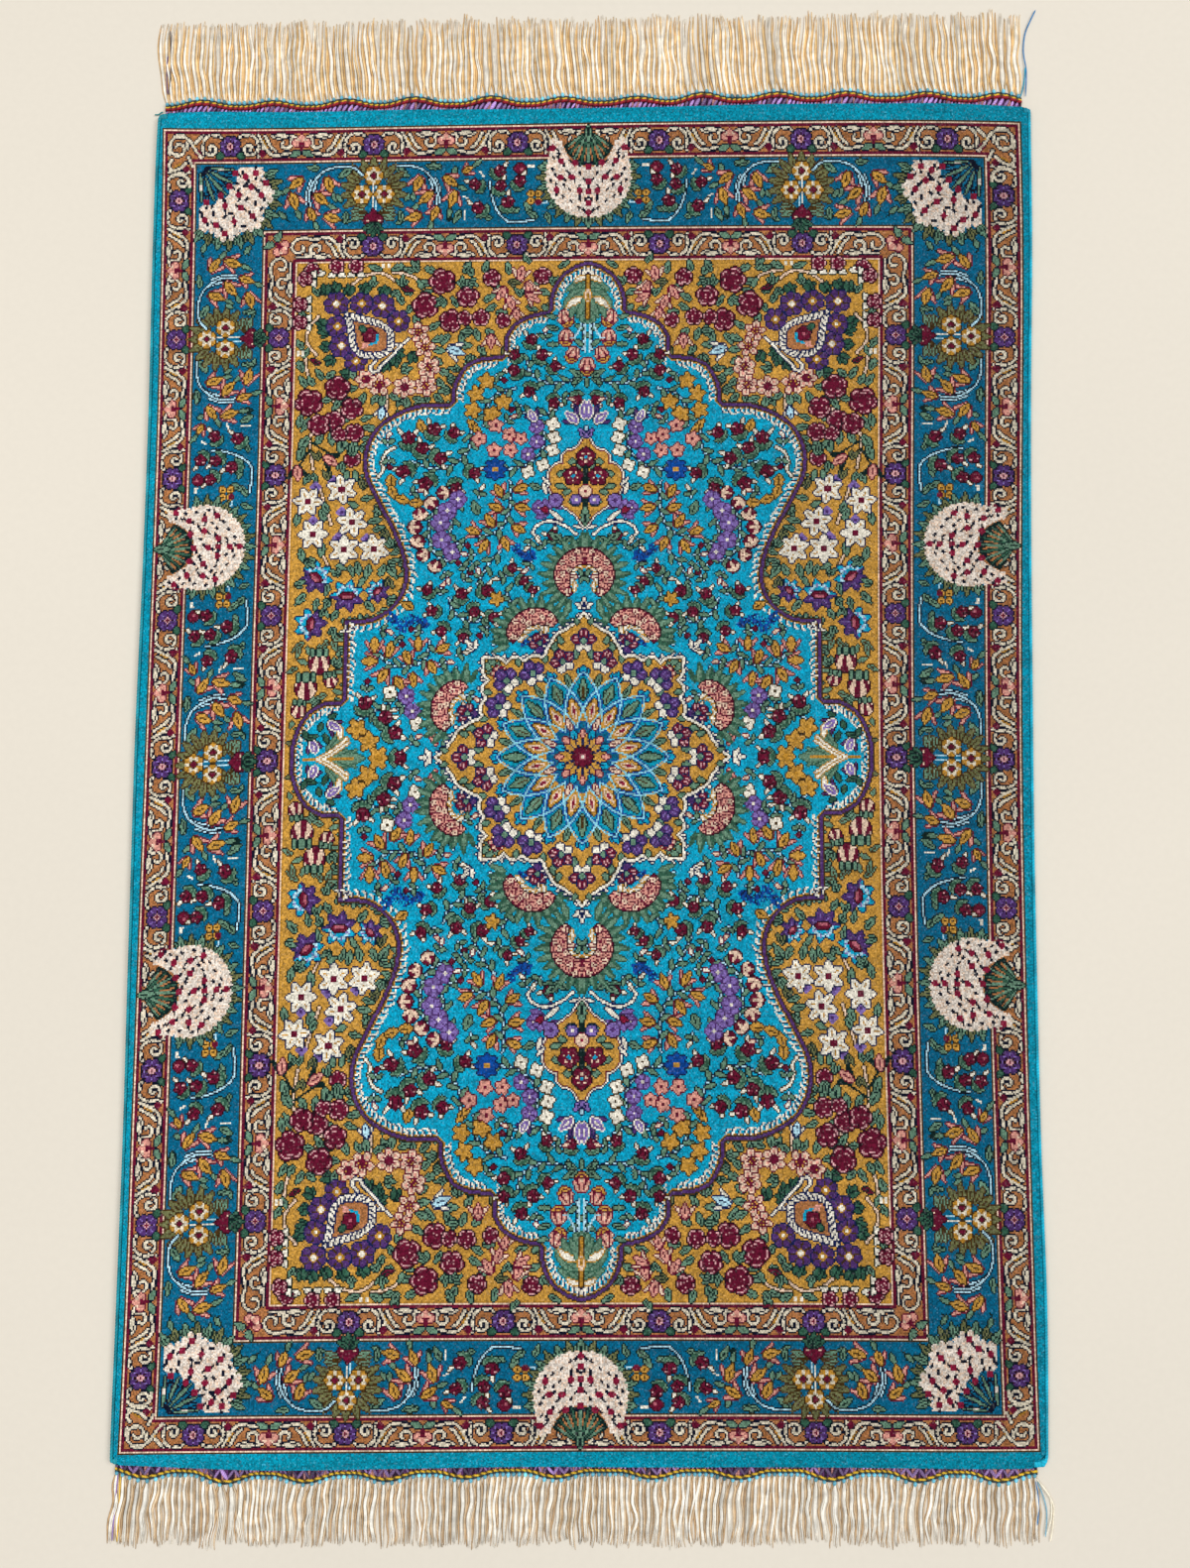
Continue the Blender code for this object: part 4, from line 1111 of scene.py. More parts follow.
def palms():
    """The plant at the head of the field, whose leaves hang like a fountain, and the feathery one at
    its side, each on its middle line."""
    for dye, line, wide, bend, rows in (
            ("sage", "leaf", 0.34, 0.08,
             ((1, 330, 205, 15), (1, 330, 235, 16), (2, 325, 222, 20), (2, 320, 236, 18))),
            ("ivory", "ochre", 0.3, 0.1, ((1, 333, 200, 9), (3, 319, 214, 14), (2, 315, 240, 9)))):
        for x, y, d, n in rows:
            leaf(-x, y, d, n, dye, line, wide, -bend)
            leaf(x, y, 180 - d, n, dye, line, wide, bend)
    for turn, n in ((244, 17), (257, 19), (270, 20), (283, 19), (296, 17)):
        leaf(0, 320, turn, n, "sage", "leaf", 0.3)
    stem(((0.5, 334), (0.5, 304)), "ochre", "olive")
    leaf(0, 316, 90, 10, "blush", "ochre", 0.4)
    for points in (((1.5, 300), (1.5, 280)), ((4, 300), (8, 292), (11, 290))):
        stem(points, "sky")
    sow(leaf, ((3, 263, 30, 10), (3, 262, 330, 8), (0, 262, 270, 7), (20, 297, 10, 8), (20, 286, 0, 8),
               (21, 305, 12, 7)), width=0.36)
    for d, n in ((66, 15), (50, 17), (36, 15), (20, 13)):
        leaf(173 - n / 4, 2, 180 - d, n, "sage", "leaf", 0.26)
    for x in (172, 166, 160):
        for d in (152, 208):
            leaf(x, 0, d, 12, "sage", "leaf", 0.3)
    leaf(162, 0, 180, 19, "sage", "leaf", 0.4, vein="ochre")
    stem(((184, 0.4), (160, 0.4)), "ochre")
    for points in (((175, 0), (166, 5), (156, 13)), ((173, -1), (165, 3.4), (155, 10.6))):
        stem(points, "ivory", "ochre", True)
    leaf(160.5, 13, 92, 9.5, "ivory", "ochre", 0.3)
    sow(tulip, ((165, 22, 215, 10), (178, 9, 250, 10)), "lilac", "purple", "wine", "ivory")
    sow(leaf, ((171, 17, 250, 7), (174, 19, 100, 6), (168, 27, 150, 6), (183, 14, 170, 8), (183, 14, 80, 6)),
        "leaf", width=0.4)
    sow(tulip, ((1.5, 238.5, 90, 12), (9, 233.5, 40, 11), (36.5, 235, 60, 9)),
        "lilac", "purple", "navy", "ivory")
    leaf(96, 8, 60, 12, "pink", "maroon", 0.4)
    leaf(72, 166, 70, 10, width=0.6)
    stem(((129, 213), (134, 210), (137, 203), (136, 198), (139, 193)), "ivory", "olive", True)


def fill(room, ground, pitch, share, make):
    """Calls make for every loose grid place whose surroundings are still bare ground."""
    draw = np.random.default_rng(17)
    for row in range(int(ROWS / pitch)):
        for column in range(int(COLUMNS / pitch)):
            x, y = (column + 0.5 + 0.5 * (row % 2)) * pitch, (row + 0.5) * pitch
            x, y = x + draw.uniform(-1, 1), y + draw.uniform(-1, 1)
            w = Window(x, y, 0, 4.2)
            bare = (CHART[w.part] == NUMBER[ground]) & room[w.part]
            turn, kind = draw.uniform(0, 360), int(draw.integers(6))
            if bare[w.far < 4.2].mean() > share:
                make(x, y, turn, kind)


def sprig(x, y, turn, kind):
    """A short stem with two leaves and a bud or a loose petal at its end, in the field."""
    spot = lambda a, b: off(x, y, turn, a, b)
    stem((spot(-3.4, 0.6), spot(0, 0), spot(2.4, -0.4)), "sky", "navy")
    leaf(*spot(-1.6, 0.4), turn + 62, 4.8)
    leaf(*spot(-2.2, -0.2), turn - 60, 4.6)
    if kind % 3 == 0:
        dot(*spot(3.6, -0.6), 1.6, "maroon", "wine")
    else:
        leaf(*spot(1.8, -0.4), turn + 14, 4.4, ("blush", "ivory")[kind % 2],
             "maroon" if kind % 3 == 1 else "olive", 0.4)


def gold_leaves(x, y, turn, kind):
    """Two or three toothed leaves from one foot, on the gold ground."""
    for k, n in ((-44, 6.2), (40, 5.6), (-2, 7.6))[kind % 2:]:
        leaf(*off(x, y, turn, -2.5), turn + k, n, "moss" if kind == 3 else "sage")


def border_leaves(x, y, turn, kind):
    """A dark leaf with a curled stem on the border's blue."""
    stem((off(x, y, turn, -3.4), (x, y), off(x, y, turn + degrees(0.7), 3)), "bottle")
    leaf(x, y, turn + 30 * (kind % 3 - 1), 6.4, ("leaf", "sage")[kind % 2], width=0.4)


def weavers_chart():
    """The quarter chart, and which part of the pile each of its knots belongs to."""
    bands()
    gold_ground()
    fill((ACROSS < 194) & (ALONG < 342), "gold", 6.8, 0.74, gold_leaves)
    area = field()
    field_flowers()
    palms()
    pendant()
    medallion()
    fill(shrunk(area, 11), "turquoise", 7.4, 0.86, sprig)
    borders()
    fill((ACROSS < 266) & (ALONG < 414), "border_blue", 7.6, 0.92, border_leaves)
    part = np.full(CHART.shape, 3, np.uint8)
    part[area] = 4
    part[(ACROSS < 115) & (ALONG < 221) & area] = 5
    for number, (u, v) in ((2, (196, 344)), (1, (221, 369)), (0, (267, 415))):
        part[(ACROSS > u) | (ALONG > v)] = number
    return CHART, part


# ---------------------------------------------------------------- the knotted cloth

DYE_TABLE = zeros((len(DYES), 3))     # display values of the dyes, as the sidebar has them
# How far, and over how much, the cloth's rim rounds off; how far the foundation stays under the packed
# cloth's top and inside its rim
RIM_DROP, RIM_WIDTH = 0.9, 1.8
FOUNDATION_DEPTH, FOUNDATION_INSET = 0.55, 0.3
# The rings of the cut side: their shares of its height, how far they bulge, and where they lie on the
# knots' map; and the painted shade of the cut side, as its colour over the pile's sea dye
SIDE_SHARES, SIDE_BULGES = array((1.0, 0.6, 0.25, 0.06)), array((0, 0.12, 0.1, 0.0))
RING_MAP, CUT_SIDE_PAINTED_SHADE = (0, 1.2, 2.4, 3.4), 0.8


def drawn_out(u, v):
    """A place of the plan on the finished rug: x is u plus the sum of a (u/300)^i (v/450)^j over
    the rows of DRIFT, and y is v plus the same sum with b."""
    p, q = u / 300, v / 450
    x, y = u.copy(), v.copy()
    for i, j, a, b in DRIFT:
        term = p**i * q**j
        x += a * term
        y += b * term
    return x, y


def cloth_grid(inset=0.0):
    """Corners of all the knots in millimetres, rows by columns, and their distance from the edge.

    Up to the outermost line the plan is drawn out of true. Past it the plain band is stretched
    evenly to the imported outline, and at the corners it is squeezed in behind the turn, which is a
    quadratic curve: sqrt(dx/r) + sqrt(dy/r) = 1."""
    u, v = np.meshgrid(arange(-EDGE_COLUMNS, EDGE_COLUMNS + 1.0), arange(-EDGE_ROWS, EDGE_ROWS + 1.0))
    x, y = drawn_out(clip(u, -OUTER_COLUMN, OUTER_COLUMN), clip(v, -OUTER_ROW, OUTER_ROW))
    end = where(v > 0, through(ENDS, "top", x), -through(ENDS, "bottom", x))
    end -= inset * np.sign(v)
    y += clip((abs(v) - OUTER_ROW) / (EDGE_ROWS - OUTER_ROW), 0, 1) * (end - y)
    reach = SELVEDGE_WIDTH + GAP + inset
    side = where(u > 0, through(SIDES, "right", y) - reach, reach - through(SIDES, "left", y))
    x += clip((abs(u) - OUTER_COLUMN) / (EDGE_COLUMNS - OUTER_COLUMN), 0, 1) * (side - x)
    dx, dy = abs(side - x), abs(end - y)
    for (across, along), r in CORNER_TURN.items():
        near = (u > 0 if across == "right" else u < 0) & (v > 0 if along == "top" else v < 0)
        turn = where(near, r * (1 - sqrt(clip(dy / r, 0, 1))) ** 2, 0)
        push = turn * clip(1 - dx / (2.2 * r), 0, 1)
        x -= np.sign(u) * push
    return u, v, x, y, np.minimum(dx, dy)


def lie(x, y):
    """Height of the lying cloth over the floor's plane, mm: a few long low waves."""
    return (0.10 * sin(x / 37 + 0.8 * sin(y / 61)) + 0.08 * sin(y / 43 + 1.1 * sin(x / 83))
            + 0.05 * sin((x + y) / 23.0))


def quarter_to_whole(quarter):
    """A quarter chart mirrored about both middle lines."""
    half = concatenate([quarter[:, ::-1], quarter], 1)
    return concatenate([half[::-1], half], 0)


def ring_strips(u0, u1, v0, v1):
    """The four strips of a frame from u0 to u1 across the rug and from v0 to v1 along it."""
    return ((-u1, u1, v0, v1, "u"), (-u1, u1, -v1, -v0, "u"),
            (u0, u1, -v0, v0, "v"), (-u1, -u0, -v0, v0, "v"))


# The parts of the pile. Each is laid out for its map as strips of one width: u0, u1, v0, v1 and the
# way that the strip runs. The strips follow each other and fold into shelves.
THIRDS = ((-196, -65, -344, 344, "v"), (-65, 66, -344, 344, "v"), (66, 196, -344, 344, "v"))
STRIPS = {
    "outer_guard_pile": ring_strips(267, 296, 415, 450),
    "main_border_pile": ring_strips(221, 267, 369, 415),
    "inner_guard_pile": ring_strips(196, 221, 344, 369),
    "gold_ground_pile": THIRDS,
    "field_pile": THIRDS,
    "medallion_pile": ((-115, 0, -221, 221, "v"), (0, 115, -221, 221, "v")),
}


def folded(strips):
    """Which fold each knot lies on, and the folds: a box of knots, its place on the map and its way.

    The strips run on from each other, and are cut into shelves so that the map is about square."""
    width = max(min(u1 - u0, v1 - v0) for u0, u1, v0, v1, way in strips) + 1
    total = sum(max(u1 - u0, v1 - v0) for u0, u1, v0, v1, way in strips)
    length = int(np.ceil(sqrt(total * width)))
    side = max(length, width * (total // length + 1))
    fold = zeros((2 * EDGE_ROWS, 2 * EDGE_COLUMNS), int)
    folds, run = [(0, 0, 0, 0, "u")], 0
    for u0, u1, v0, v1, way in strips:
        low, high = (u0, u1) if way == "u" else (v0, v1)
        for shelf in range(run // length, (run + high - low - 1) // length + 1):
            a = max(low, low + shelf * length - run)
            b = min(high, low + (shelf + 1) * length - run)
            left, right, below, above = (a, b, v0, v1) if way == "u" else (u0, u1, a, b)
            fold[below + EDGE_ROWS:above + EDGE_ROWS, left + EDGE_COLUMNS:right + EDGE_COLUMNS] = len(folds)
            folds.append((left, below, run + a - low - shelf * length, shelf * width, way))
        run += high - low
    return fold, folds, side


def map_places(folds, side, fold, u, v):
    """Where corners (u, v) of knots on the given folds come on the map, 0 to 1."""
    u0, v0, along, across, upright = array([(*f[:4], f[4] == "v") for f in folds], float)[fold].T[..., None]
    a, b = where(upright > 0, v - v0, u - u0), where(upright > 0, u - u0, v - v0)
    return stack([(a + along) / side, (b + across) / side], -1)


def knotted_mesh(name, dyes, here, places, longest=16, tallest=8):
    """One part of the pile: each run of equal knots along a row is one quad, and so are runs that
    repeat up the rows, within blocks of the given size and cut where the map folds. Corners are
    shared by number, so the rows stay joined."""
    fold, folds, side = folded(STRIPS[name])
    key = where(here, dyes.astype(int) + 64 * fold, -1)
    first = np.ones(key.shape, bool)
    first[:, 1:] = key[:, 1:] != key[:, :-1]
    first[:, ::longest] = True
    row, start = np.nonzero(first)
    stop = np.append(start[1:], 0)
    stop[np.append(row[1:] != row[:-1], True)] = key.shape[1]
    keep = key[row, start] >= 0
    row, start, stop = row[keep], start[keep], stop[keep]
    kind = key[row, start]
    order = np.lexsort((row, kind, stop, start))
    run = stack([row, start, stop, kind], 1)[order]
    new = np.ones(len(run), bool)
    new[1:] = ((run[1:, 1:] != run[:-1, 1:]).any(1) | (run[1:, 0] != run[:-1, 0] + 1)
               | (run[1:, 0] % tallest == 0))
    row, start, stop = run[new, :3].T
    above = run[np.append(np.flatnonzero(new)[1:], len(run)) - 1, 0] + 1
    low, high = row * (key.shape[1] + 1), above * (key.shape[1] + 1)
    corners = stack([low + start, low + stop, high + stop, high + start], 1)
    used, number = np.unique(corners, return_inverse=True)
    u = stack([start, stop, stop, start], 1) - float(EDGE_COLUMNS)
    v = stack([row, row, above, above], 1) - float(EDGE_ROWS)
    bake = map_places(folds, side, fold[row, start], u, v)
    return surface(name, places.reshape(-1, 3)[used], [number.reshape(-1, 4)],
                   {"knots": [stack([u, v], -1)], "OFBake": [bake]},
                   {"dye": [np.repeat(DYE_TABLE[dyes[row, start]][:, None], 4, 1)]})


def surface(name, points, faces, maps=None, colours=None, smooth=False):
    """A mesh object from points in millimetres and lists of faces of equal corner count, with UV
    maps and corner colours (display values) given for each list."""
    mesh = bpy.data.meshes.new(name)
    mesh.vertices.add(len(points))
    mesh.vertices.foreach_set("co", (np.asarray(points, float) * MM).ravel())
    total = concatenate([np.full(len(f), f.shape[1]) for f in faces])
    mesh.loops.add(int(total.sum()))
    mesh.loops.foreach_set("vertex_index", concatenate([f.ravel() for f in faces]).astype(np.int32))
    mesh.polygons.add(len(total))
    mesh.polygons.foreach_set("loop_start", (np.cumsum(total) - total).astype(np.int32))
    mesh.update(calc_edges=True)
    for key, parts in (maps or {}).items():
        layer = mesh.uv_layers.new(name=key)
        layer.data.foreach_set("uv", concatenate([p.reshape(-1, 2) for p in parts]).ravel())
    for key, parts in (colours or {}).items():
        layer = mesh.color_attributes.new(key, "BYTE_COLOR", "CORNER")
        rgb = concatenate([p.reshape(-1, 3) for p in parts])
        layer.data.foreach_set("color_srgb", np.column_stack([rgb, np.ones(len(rgb))]).ravel())
    if smooth:
        mesh.polygons.foreach_set("use_smooth", np.ones(len(total), bool))
    piece = bpy.data.objects.new(name, mesh)
    bpy.context.scene.collection.objects.link(piece)
    return piece


def pile_places(height, relief):
    """The knots' corners in three dimensions: the pile's top, rounded off along its rim as
    height - drop (1 - d / width)^2 within that width of the edge."""
    _, _, x, y, edge = cloth_grid()
    z = THICKNESS + height + relief * lie(x, y) - RIM_DROP * clip(1 - edge / RIM_WIDTH, 0, 1) ** 2
    return stack([x, y, z], -1)


def rim_of(grid):
    """What lies round the edge of a grid, anticlockwise from the lower left."""
    return concatenate([grid[0, :-1], grid[:-1, -1], grid[-1, :0:-1], grid[:0:-1, 0]])


def grid_faces(index):
    """The four corners of each square of a grid of point numbers."""
    return stack([index[:-1, :-1], index[:-1, 1:], index[1:, 1:], index[1:, :-1]], -1).reshape(-1, 4)


def pile_side(places):
    """The cut side of the pile, from its rim to the floor: rings at set shares of the height, which
    bulge outwards a little in the middle."""
    rim = rim_of(places)
    out = np.roll(rim, -1, 0) - np.roll(rim, 1, 0)
    out = stack([out[:, 1], -out[:, 0]], 1)
    out /= hypot(*out.T)[:, None]
    n, high = len(rim), len(SIDE_SHARES)
    rings = np.empty((high, n, 3))
    rings[..., :2] = rim[None, :, :2] + SIDE_BULGES[:, None, None] * out
    rings[..., 2] = rim[:, 2] * SIDE_SHARES[:, None]
    ring, place = np.meshgrid(arange(high - 1), arange(n), indexing="ij")
    after = (place + 1) % n
    quads = stack([(ring + 1) * n + place, (ring + 1) * n + after, ring * n + after, ring * n + place], -1)
    plan = stack([np.tile(arange(n) * 1.0, high), np.repeat(RING_MAP, n)], -1)
    return rings.reshape(-1, 3), quads.reshape(-1, 4), plan


def foundation():
    """The woven foundation under the pile: a closed slab, a little lower and narrower than the packed
    cloth. The top and bottom are grids, and a wall of one quad joins their rims."""
    rows, columns = arange(0, 2 * EDGE_ROWS + 1, 15), arange(0, 2 * EDGE_COLUMNS + 1, 16)
    u, v, x, y, edge = (a[np.ix_(rows, columns)] for a in cloth_grid(FOUNDATION_INSET))
    height = THICKNESS - FOUNDATION_DEPTH + 0 * x - RIM_DROP * clip(1 - edge / RIM_WIDTH, 0, 1)
    points = concatenate([stack([x, y, z], -1).reshape(-1, 3) for z in (height, 0 * x)])
    index = arange(x.size).reshape(x.shape)
    quads, rim = grid_faces(index), rim_of(index)
    wall = stack([rim + x.size, np.roll(rim, -1) + x.size, np.roll(rim, -1), rim], -1)
    faces = concatenate([quads, quads[:, ::-1] + x.size, wall])
    plan = np.tile(stack([u, v], -1).reshape(-1, 2), (2, 1))
    return surface("foundation", points, [faces], {"knots": [plan[faces]]})


# ---------------------------------------------------------------- yarns, cords and fringes

CUT_RINGS, CELL_RIM = 12, 0.06   # rings between the cuts of a tube's second map, and its cells' empty rims


def ring_angles(sides):
    """The directions of a ring's points from its centre."""
    return 2 * pi * arange(sides) / sides


def wave(cycles):
    """The sine of so many full turns."""
    return sin(2 * pi * cycles)


def tubes(name, paths, radii, sides, flat=1.0, colours=None):
    """Closed tubes along many paths at once.

    paths is (tubes, rings, 3) and radii (tubes, rings) or (tubes, rings, sides). A ring's points
    are centre + r (cos f across + flat sin f up), where across is level and square to the path. The
    first map runs round each tube in x and along it, in millimetres, in y; the second cuts the
    tubes every few rings and lays the cuts in a square of cells."""
    paths = np.asarray(paths, float)
    count, rings = paths.shape[:2]
    radii = np.asarray(radii, float)
    if radii.ndim == 2:
        radii = radii[..., None]
    along = np.gradient(paths, axis=1)
    along /= np.linalg.norm(along, axis=-1, keepdims=True)
    across = stack([along[..., 1], -along[..., 0], 0 * along[..., 0]], -1)
    across /= np.maximum(np.linalg.norm(across, axis=-1, keepdims=True), 1e-9)
    up = np.cross(across, along)
    f = ring_angles(sides)[:, None]
    ring = radii[..., None] * (cos(f) * across[:, :, None] + flat * sin(f) * up[:, :, None])
    points = paths[:, :, None] + ring
    number = arange(count * rings * sides).reshape(count, rings, sides)
    after = np.roll(number, -1, 2)
    quads = stack([number[:, :-1], after[:, :-1], after[:, 1:], number[:, 1:]], -1)
    caps = concatenate([number[:, 0, ::-1], number[:, -1]])
    length = np.cumsum(np.linalg.norm(np.diff(paths, axis=1), axis=-1), 1)
    length = concatenate([zeros((count, 1)), length], 1)
    s = np.broadcast_to(length[..., None], (count, rings, sides + 1))
    a = np.broadcast_to(arange(sides + 1) / sides, (count, rings, sides + 1))
    plan = stack([a, s], -1)
    quad_map = stack([plan[:, :-1, :-1], plan[:, :-1, 1:], plan[:, 1:, 1:], plan[:, 1:, :-1]], -2)
    cap_map = zeros((2 * count, sides, 2))
    folds = -(-(rings - 1) // CUT_RINGS)
    cells = int(np.ceil(sqrt(count * folds)))
    step, lap = arange(rings - 1), arange(sides) / sides
    cell = arange(count)[:, None] * folds + step // CUT_RINGS
    corner = array([(0, 0), (1, 0), (1, 1), (0, 1)]) / (sides, CUT_RINGS)
    within = np.broadcast_arrays(lap, (step[:, None] % CUT_RINGS) / CUT_RINGS)
    within = stack(within, -1)[..., None, :] + corner
    start = stack([cell % cells, cell // cells], -1)
    sheet = (start[:, :, None, None] + CELL_RIM + (1 - 2 * CELL_RIM) * within) / cells
    ends = start[:, [0, -1]].transpose(1, 0, 2).reshape(-1, 1, 2)
    cap_sheet = np.broadcast_to((ends + 0.1) / cells, cap_map.shape)
    layers = {"yarn": [quad_map, cap_map], "OFBake": [sheet, cap_sheet]}
    shades = {}
    for key, values in (colours or {}).items():
        values = np.broadcast_to(values, (count, rings, sides, 3))
        following = np.roll(values, -1, 2)
        shades[key] = [stack([values[:, :-1], following[:, :-1], following[:, 1:], values[:, 1:]], -2),
                       concatenate([values[:, 0, ::-1], values[:, -1]])]
    return surface(name, points.reshape(-1, 3), [quads.reshape(-1, 4), caps], layers, shades, True)


# How each twined cord is made: its thickness and height over the cord's width, the cosine up to which
# its second strand shows, and that strand's dye over the first's, which is painted shade in the gaps
CORD_MAKE = {"red": (0.98, 1.15, -0.5, 0.55), "gold": (0.78, 0.9, -0.2, 0.36),
             "teal": (0.55, 0.9, -0.2, 0.5)}
# The warps between the loops: a pale one, then dark and mid purple that are painted shade between the loops
BLUSH_WARP, PLUM_PAINTED_SHADE, MAUVE_PAINTED_SHADE = (0.74, 0.52, 0.50), (0.16, 0.04, 0.18), (0.36, 0.18, 0.40)
# The fringe: how many threads lie together as a bundle's strand, and the rings of each; how a
# thread's four sides are tinted: on the strand, painted light on its top and painted warm shade on its
# sides, and below it, painted warm shade all round
STRAND_THREADS, THREAD_RINGS = 3, 13
STRAND_PAINTED_LIGHT_AND_SHADE = ((1.0, 0.93, 0.79), (1.0, 1.0, 1.0), (1.0, 0.93, 0.79), (1.0, 0.9, 0.74))
UNDER_PAINTED_WARM_SHADE = ((0.99, 0.83, 0.6), (1.0, 0.88, 0.67), (0.99, 0.83, 0.6), (0.98, 0.8, 0.56))


def selvedge(side, sx, turns, colour):
    """The overcast cord down one long side, turned in at both corners: a tube whose radius rises
    and falls once a turn of the yarn, r = R (0.84 + 0.16 |sin(pi (y / pitch + 0.3 sin f))|^0.7)."""
    low_turn, high_turn = CORNER_TURN[side, "bottom"], CORNER_TURN[side, "top"]
    low = -float(through(ENDS, "bottom", sx * HALF_WIDTH))
    high = float(through(ENDS, "top", sx * HALF_WIDTH))
    rings, sides = int((high - low) / turns * 4) + 1, 8
    y = linspace(low + 0.03, high - 0.03, rings)
    up, down = clip((high - y) / high_turn, 0, 1), clip((y - low) / low_turn, 0, 1)
    turn = high_turn * (1 - sqrt(up)) ** 2 + low_turn * (1 - sqrt(down)) ** 2
    wider = clip(turn / 1.2, 0, 1)
    x = sx * (through(SIDES, side, y) - SELVEDGE_WIDTH / 2 - turn - 1.1 * wider)
    run = clip(y, low + 2.2, high - 2.2)
    z = SELVEDGE_WIDTH / 2 + 0.9 + 0.2 * sin(y / 31)
    f = ring_angles(sides)
    bump = abs(sin(pi * (y[:, None] / turns + 0.3 * sin(f))))
    radius = (SELVEDGE_WIDTH / 2) * (0.84 + 0.16 * bump**0.7)
    radius *= 1 + 0.95 * wider[:, None] * abs(cos(f))
    shade = 1 + 0.14 * sin(y / 17) * sin(y / 5.3 + 1)
    return tubes(f"overcast_{side}", stack([x, run, z], -1)[None], radius[None], sides, 1.35,
                 {"ply": (clip(shade, 0, 1.2)[:, None] * colour)[None, :, None]})


def bundle_number(finish, x):
    """Which warp bundle crosses at each x, as a number that runs on smoothly between them."""
    roots = strand_roots(finish)
    return interp(x, roots, arange(len(roots)) + 0.0, left=-0.5, right=len(roots) - 0.5)


def twined_cord(finish, number, colour, dye):
    """Two strands twined round the warp bundles, one full turn a bundle:
    r = R (0.5 + 0.5 |cos(f - t)|), where t is 2 pi times the bundle's number. The second strand
    shows as a narrow stitch between the bumps of the first, darkened with painted shade."""
    thick, high, shown, second = CORD_MAKE[colour]
    rings, sides = STRANDS_AN_END * 8 + 1, 8
    x = linspace(finish.left, finish.right, rings)
    y = end_line(finish, x, cord_offset(finish, number))
    z = np.full(rings, CORD_WIDTH * high)
    turn = cos(ring_angles(sides) - 2 * pi * bundle_number(finish, x)[:, None] * finish.out)
    # Painted shade: the second strand is darker where it shows between the first one's bumps
    ply = where((turn > shown)[..., None], dye, dye * second)
    radius = CORD_WIDTH * thick * (0.5 + 0.5 * abs(turn))
    return tubes(f"{colour}_twining_{finish.name}", stack([x, y, z], -1)[None], radius[None], sides,
                 1.0, {"ply": ply[None]})


def edge_beads(finish, draw, blue):
    """The light blue stitches on the outside of the last cord, one over each warp bundle: short
    fat tubes that point outwards, r = R sqrt(sin(pi t))."""
    roots = strand_roots(finish)
    t = linspace(0, 1, 6)
    start = end_line(finish, roots, cord_offset(finish, len(finish.cords) - 1) - 0.3)[:, None]
    y = start + finish.out * t * (2.5 + 0.3 * draw.normal(0, 1, (len(roots), 1)))
    x = roots[:, None] + (draw.normal(0, 0.25, (len(roots), 1)) - 0.35) * t
    z = 1.62 - 0.6 * t**2 + 0 * x
    radius = 1.3 * sqrt(clip(sin(pi * (0.06 + 0.88 * t)), 0, 1)) + 0 * x
    shade = 1 + draw.normal(0, 0.14, (len(roots), 1, 1, 1))
    return tubes(f"blue_stitches_{finish.name}", stack([x, y, z], -1), radius, 6, 0.9,
                 {"ply": clip(shade * blue, 0, 1)})


def loops(finish, draw, lilac):
    """The lilac wrapping: three slanted loops for two warp bundles, from the pile to the first cord,
    r = R (0.62 + 0.38 sin(pi t)). At the bottom they lean in turn, at the top all one way."""
    roots = strand_roots(finish)
    base = interp(arange(0, len(roots) - 1, 2 / 3), arange(len(roots)), roots)
    pitch = np.gradient(base)
    n = len(base)
    t = linspace(0, 1, 8)
    near = (finish.out * (through(ENDS, finish.name, base) + 0.1))[:, None]
    far = end_line(finish, base, finish.first_cord - CORD_WIDTH / 2 - 0.45)[:, None]
    deep = abs(far - near)
    lean = where(arange(n) % 2, 0.9, -0.9) if finish.out < 0 else np.full(n, 0.75)
    lean = (lean + draw.normal(0, 0.12, n))[:, None] * clip(deep - 1.5, 0.2, 5) * 0.5
    x = base[:, None] + lean * (t - 0.5) * 2
    y = near + (far - near) * t
    lift = draw.uniform(0, 0.4, (n, 1))
    z = 0.8 + (0.8 + lift) * sin(pi * clip(t * 0.9 + 0.1, 0, 1)) * (1 - 0.35 * t) + 0 * x
    radius = 0.28 * pitch[:, None] * (0.55 + 0.45 * sin(pi * t)) * (1 + draw.normal(0, 0.1, (n, 1)))
    dark = (draw.uniform(0, 1, (n, 1, 1, 1)) < 0.3) * 0.34
    shade = clip((1.0 if finish.out > 0 else 0.8) - dark + draw.normal(0, 0.1, (n, 1, 1, 1)), 0.4, 1.15)
    return tubes(f"wrapped_loops_{finish.name}", stack([x, y, z], -1), radius, 6, 0.85,
                 {"ply": clip(shade * lilac, 0, 1)})


def warp_ends(finish, draw):
    """What shows between the loops: warps straight from the pile to the cords, a quarter pale, the
    others dark and mid purple, which is painted shade between the loops.
    """
    count = STRANDS_AN_END * 3
    x = linspace(finish.left + 0.8, finish.right - 0.8, count)[:, None]
    t = linspace(0, 1, 4)
    near = finish.out * (through(ENDS, finish.name, x) - 0.4)
    far = end_line(finish, x, finish.first_cord + 0.3)
    y = near + (far - near) * t
    x = x + 0 * t
    z = 0.75 - 0.2 * t + 0 * x
    kind = draw.uniform(0, 1, (count, 1, 1, 1))
    # A quarter pale warps; half dark and a quarter mid purple, painted shade between the loops
    colour = where(kind < 0.25, BLUSH_WARP, where(kind < 0.75, PLUM_PAINTED_SHADE, MAUVE_PAINTED_SHADE))
    return tubes(f"band_warps_{finish.name}", stack([x, y, z], -1), np.full(x.shape, 0.82), 6, 0.7,
                 {"ply": colour})


